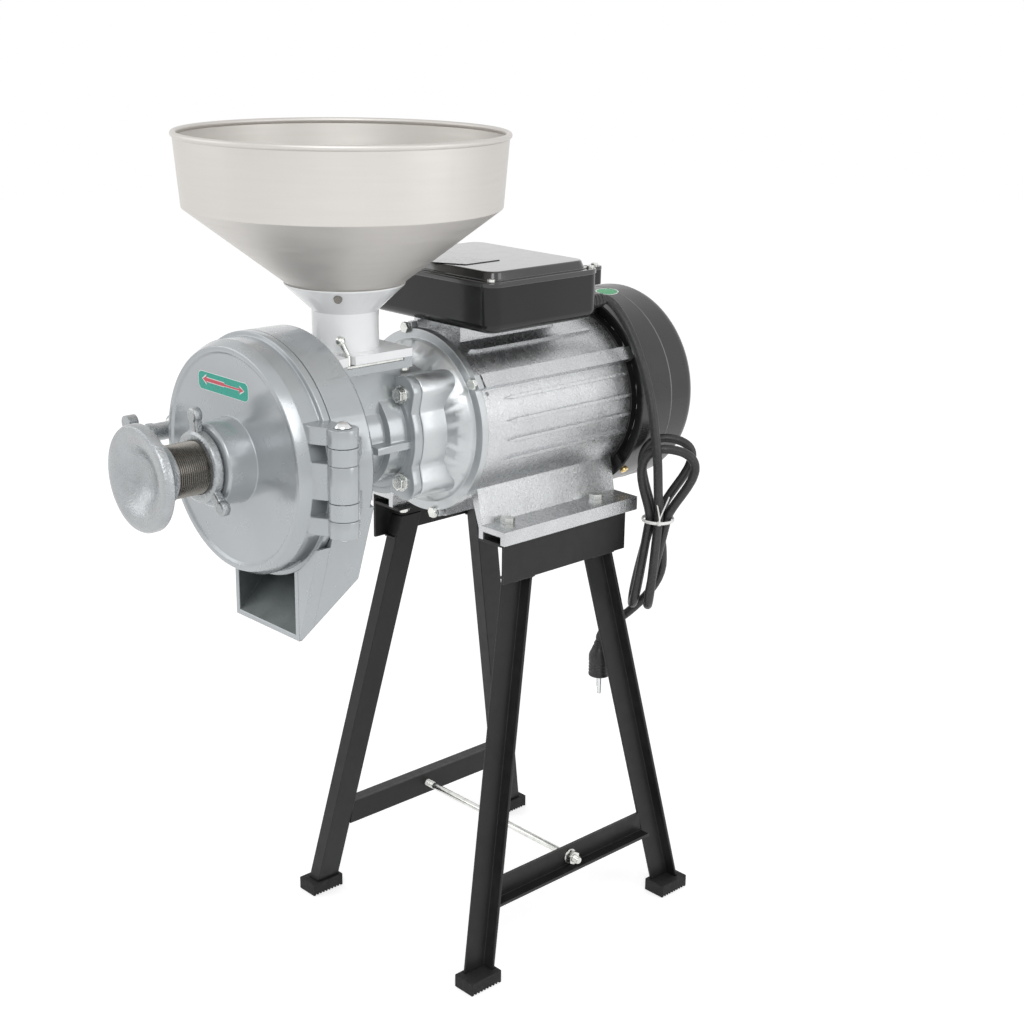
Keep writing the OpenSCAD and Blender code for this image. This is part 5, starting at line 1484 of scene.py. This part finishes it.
@dataclass
class Flange:
    """The four-lobed flange that joins the feed housing to the motor's front bell, with its bolts."""

    waist: float = 62.0
    bolts_at: float = 60.0
    lobe_at: float = 62.0
    lobe: float = 17.0
    bore: float = 55.0
    widest: float = 100.0
    housing: tuple[float, float] = (-165.4, -155.2)
    bell: tuple[float, float] = (-154.8, -107.0)
    smoothing: float = 1.1
    washer: tuple[tuple[float, float], ...] = ((8.6, -1.7), (8.8, -1.2), (8.8, 0))
    head: tuple[tuple[float, float], ...] = ((6.2, -6.9), (7.4, -6.2), (7.5, -1.7))
    shank: tuple[tuple[float, float], ...] = ((3.9, -1.8), (3.9, 26), (3.2, 27))

    def reach(self, angle: float) -> float:
        """Returns the outline's radius at an angle, its hollows smoothed.

        Args:
            angle: The angle, in degrees.

        Returns:
            The radius, in millimetres.
        """
        total = 0.0
        steps = range(-5, 6)
        for step in steps:
            off = math.radians((angle + self.smoothing * step) % 90 - 45)
            spare = self.lobe ** 2 - (self.lobe_at * math.sin(off)) ** 2
            total += max(self.waist, self.lobe_at * math.cos(off) + math.sqrt(spare) if spare > 0 else 0.0)
        return total / len(steps)

    def ring(self, name: str, low: float, high: float, edge: float) -> bpy.types.Object:
        """Turns a thick ring and draws its outside in to the lobed outline.

        Args:
            name: The piece's name.
            low: Its front along the motor, in millimetres.
            high: Its back along the motor, in millimetres.
            edge: The rounding of its edges, in millimetres.

        Returns:
            The ring.
        """
        corners = [(self.bore, low), (self.widest, low), (self.widest, high), (self.bore, high)]
        ring = turned(name, filleted(corners, edge, 3, True), (0, 0, 0), Axis.UP, 240, Ends.JOINED)
        for vertex in ring.data.vertices:
            radius = math.hypot(vertex.co.x, vertex.co.y)
            if radius > (self.widest - 10) * MM:
                angle = math.degrees(math.atan2(vertex.co.y, vertex.co.x))
                share = (radius - (self.widest - self.reach(angle)) * MM) / radius
                vertex.co.x, vertex.co.y = vertex.co.x * share, vertex.co.y * share
        return settle(ring, Matrix.Translation((0, 0, AXIS_Z)) @ Axis.REAR.turn(), 40)

    def bolts(self) -> bpy.types.Object:
        """Makes the four hexagon bolts on their washers."""
        made = []
        for number, place in enumerate(ring_points(4, self.bolts_at, (0, self.housing[0], AXIS_Z / MM), 45)):
            for kind, profile, sides in (("washer", self.washer, 40), ("head", self.head, 6),
                                         ("shank", self.shank, 24)):
                part = turned(f"flange_{kind}_{number}", profile, tuple(place), Axis.REAR, sides)
                made.append(soften(part, 0.45 * MM, 2) if kind == "head" else part)
        return merged("flange_hexagon_bolts", made)

    def build(self) -> None:
        """Makes both halves of the flange and its bolts."""
        fit(self.ring("housing_flange", *self.housing, 1.6), Body.MILL, GREY_PAINT)
        fit(self.ring("bell_flange", *self.bell, 2.2), Body.MILL, CAST_ALUMINIUM)
        fit(self.bolts(), Body.MILL, ZINC, ("housing_bolts",))


@dataclass
class Chute:
    """The outlet under the drum: its wall that runs up to the drum's side, and dark sheets inside it as painted
    shade.
    """

    foot: tuple[float, float] = (66.0, 396.0)
    touch: tuple[float, float] = (106.6, 521.6)
    inside: tuple[float, float] = (-27.0, 61.0)
    back: float = -251.0
    drum_front: float = -292.0
    front: float = -305.9
    slope_top: float = 448.0
    diagonal: float = 0.70711
    skin: float = 0.4
    skin_start: float = 5.8
    skin_top: float = 455.0
    lip_top: float = 438.0
    cheek_top: float = 490.0
    drum_wall: float = 106.0
    door_clear: float = 113.6

    def arc(self, radius: float, high: float, low_x: float) -> list[tuple[float, float]]:
        """Returns points round the drum, all in millimetres.

        Args:
            radius: Their distance from the drum's axis.
            high: The first point's height.
            low_x: The last point's distance from the drum's middle plane.

        Returns:
            The points, from the first down to the last.
        """
        start = math.asin((AXIS_Z / MM - high) / radius)
        end = math.acos(low_x / radius)
        turns = [start + (end - start) * step / 12 for step in range(13)]
        return [(radius * math.cos(turn), AXIS_Z / MM - radius * math.sin(turn)) for turn in turns]

    def cheek(self, name: str, outline: Sequence[tuple[float, float]], start: float, end: float) -> None:
        """Makes a stretch of the slanting wall and cuts its underside to the chute's slope.

        Args:
            name: The piece's name.
            outline: Its corners, X and Z in millimetres.
            start: Its back along the motor, in millimetres.
            end: Its front along the motor, in millimetres.
        """
        place = Matrix(((1, 0, 0, 0), (0, 0, -1, start * MM), (0, 1, 0, 0), (0, 0, 0, 1)))
        wall = sheet_from(name, outline, start - end, place, 0)
        activate(wall)
        edit_all()
        bpy.ops.mesh.bisect(plane_co=(0, self.back * MM, self.slope_top * MM), plane_no=(0, 1, -1), use_fill=True,
                            clear_outer=True, clear_inner=False)
        bpy.ops.object.mode_set(mode="OBJECT")
        fit(reshaded(wall), Body.MILL, GREY_PAINT)

    def shade_sheets(self) -> None:
        """Makes dark sheets on the chute's inner faces as painted shade."""
        drop = self.back - self.front
        lean = self.diagonal
        slope = Matrix(((1, 0, 0, 0), (0, -lean, lean, self.back * MM),
                        (0, -lean, -lean, (self.slope_top + 7.07) * MM), (0, 0, 0, 1)))
        low, high = self.inside
        reach = drop * math.sqrt(2) - 0.6
        # dark sheets on the chute's floor and sides, as painted shade
        floor = sheet_from("chute_floor_shade_sheet", [(low, self.skin_start), (high, self.skin_start), (high, reach),
                                                (low, reach)], -self.skin, slope, 0)
        rear, lip, inner = 4 - self.back, -self.skin - self.front, 0.6 - self.drum_front
        foot = self.slope_top + 4.4
        side = [(rear, foot), (lip, foot - drop + 4.5), (lip, self.lip_top), (inner, self.lip_top),
                (inner, self.skin_top), (rear, self.skin_top)]
        walls = []
        for number, x in enumerate((low, high - self.skin)):
            place = Matrix(((0, 0, 1, x * MM), (-1, 0, 0, 0), (0, 1, 0, 0), (0, 0, 0, 1)))
            walls.append(sheet_from(f"chute_side_skin_{number}", side, self.skin, place, 0))
        fit(joined(floor, walls), Body.MILL, PAINTED_SHADE_INSIDE)

    def build(self) -> None:
        """Makes the wall in two stretches, the front one clear of the door, and the dark sheets inside as painted
        shade.
        """
        (foot_x, foot_z), (touch_x, touch_z) = self.foot, self.touch
        rear = [self.foot, self.touch] + self.arc(self.drum_wall, touch_z + 1.8, 62.0)
        share = (self.cheek_top - foot_z) / (touch_z - foot_z)
        edge = (foot_x + share * (touch_x - foot_x), self.cheek_top)
        ahead = [self.foot, edge] + self.arc(self.door_clear, self.cheek_top, foot_x)
        self.cheek("chute_cheek_rear", rear, self.back, self.drum_front)
        self.cheek("chute_cheek_front", ahead, self.drum_front, self.front)
        self.shade_sheets()


def slot_name(slot: bpy.types.MaterialSlot) -> str:
    """Returns the record's name for a CAD node's material slot."""
    return slot.material.name.split(".")[0]


def finish_of(node: str, slot: str) -> Finish:
    """Returns the finish that is named for a CAD node, or its material slot's."""
    return NODE_FINISHES.get(node) or CAD_FINISHES[slot]


@dataclass(frozen=True)
class Casting:
    """A CAD node whose edges are rounded in a copy that replaces it."""

    node: str
    width: float
    body: Body = Body.MILL
    segments: int = 2

    def build(self, nodes: dict[str, bpy.types.Object]) -> None:
        """Makes the rounded copy with the node's own finish."""
        node = nodes[self.node]
        slot = slot_name(node.material_slots[0])
        copy = rounded_copy(node, f"rounded_{self.node}", self.width, self.segments)
        fit(copy, self.body, finish_of(self.node, slot), (self.node,))


CASTINGS = (
    Casting("tie_rod_nuts", 0.5), Casting("foot_bolts", 0.5), Casting("tie_bolts", 0.4),
    Casting("flange_bolts", 0.35), Casting("lid_screws", 0.35), Casting("fan_cover_screws", 0.3),
    Casting("hopper_screws", 0.4), Casting("cable_gland", 0.4), Casting("clamp_collar", 0.3, Body.CLAMP_COLLAR),
    Casting("clamp_knob", 0.9, Body.CLAMP, 3), Casting("feed_gate", 0.4, Body.GATE), Casting("hinge_pin", 0.5),
    Casting("stone_nut", 0.8, Body.GRINDER), Casting("grinding_drum", 1.6, Body.MILL, 3),
    Casting("feed_housing", 1.2), Casting("front_end_bell", 1.0), Casting("hopper_base", 1.2, Body.MILL, 3),
)


def dress_nodes(nodes: dict[str, bpy.types.Object]) -> None:
    """Gives each CAD node the finish of its own material slot, or the one that is named for it.

    Args:
        nodes: The CAD nodes by name.
    """
    for name, node in nodes.items():
        for slot in node.material_slots:
            slot.material = finish_of(name, slot_name(slot)).material()
        LOG.info("node %s is %s", name, node.material_slots[0].material.name)


def main() -> None:
    """Builds the mill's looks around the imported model."""
    logging.basicConfig(level=logging.INFO, format="%(name)s: %(message)s")
    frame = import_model()
    deselect()
    Viewpoint().build()
    MainsCord().build()
    Studio().build()
    nodes = frame["nodes"]
    Stand().build(nodes)
    Door().build()
    Adjuster().build()
    ControlBox().build()
    Hopper().build()
    MotorTrim().build()
    Flange().build()
    Chute().build()
    for casting in CASTINGS:
        casting.build(nodes)
    dress_nodes(nodes)
    deselect()


if __name__ == "__main__":
    main()
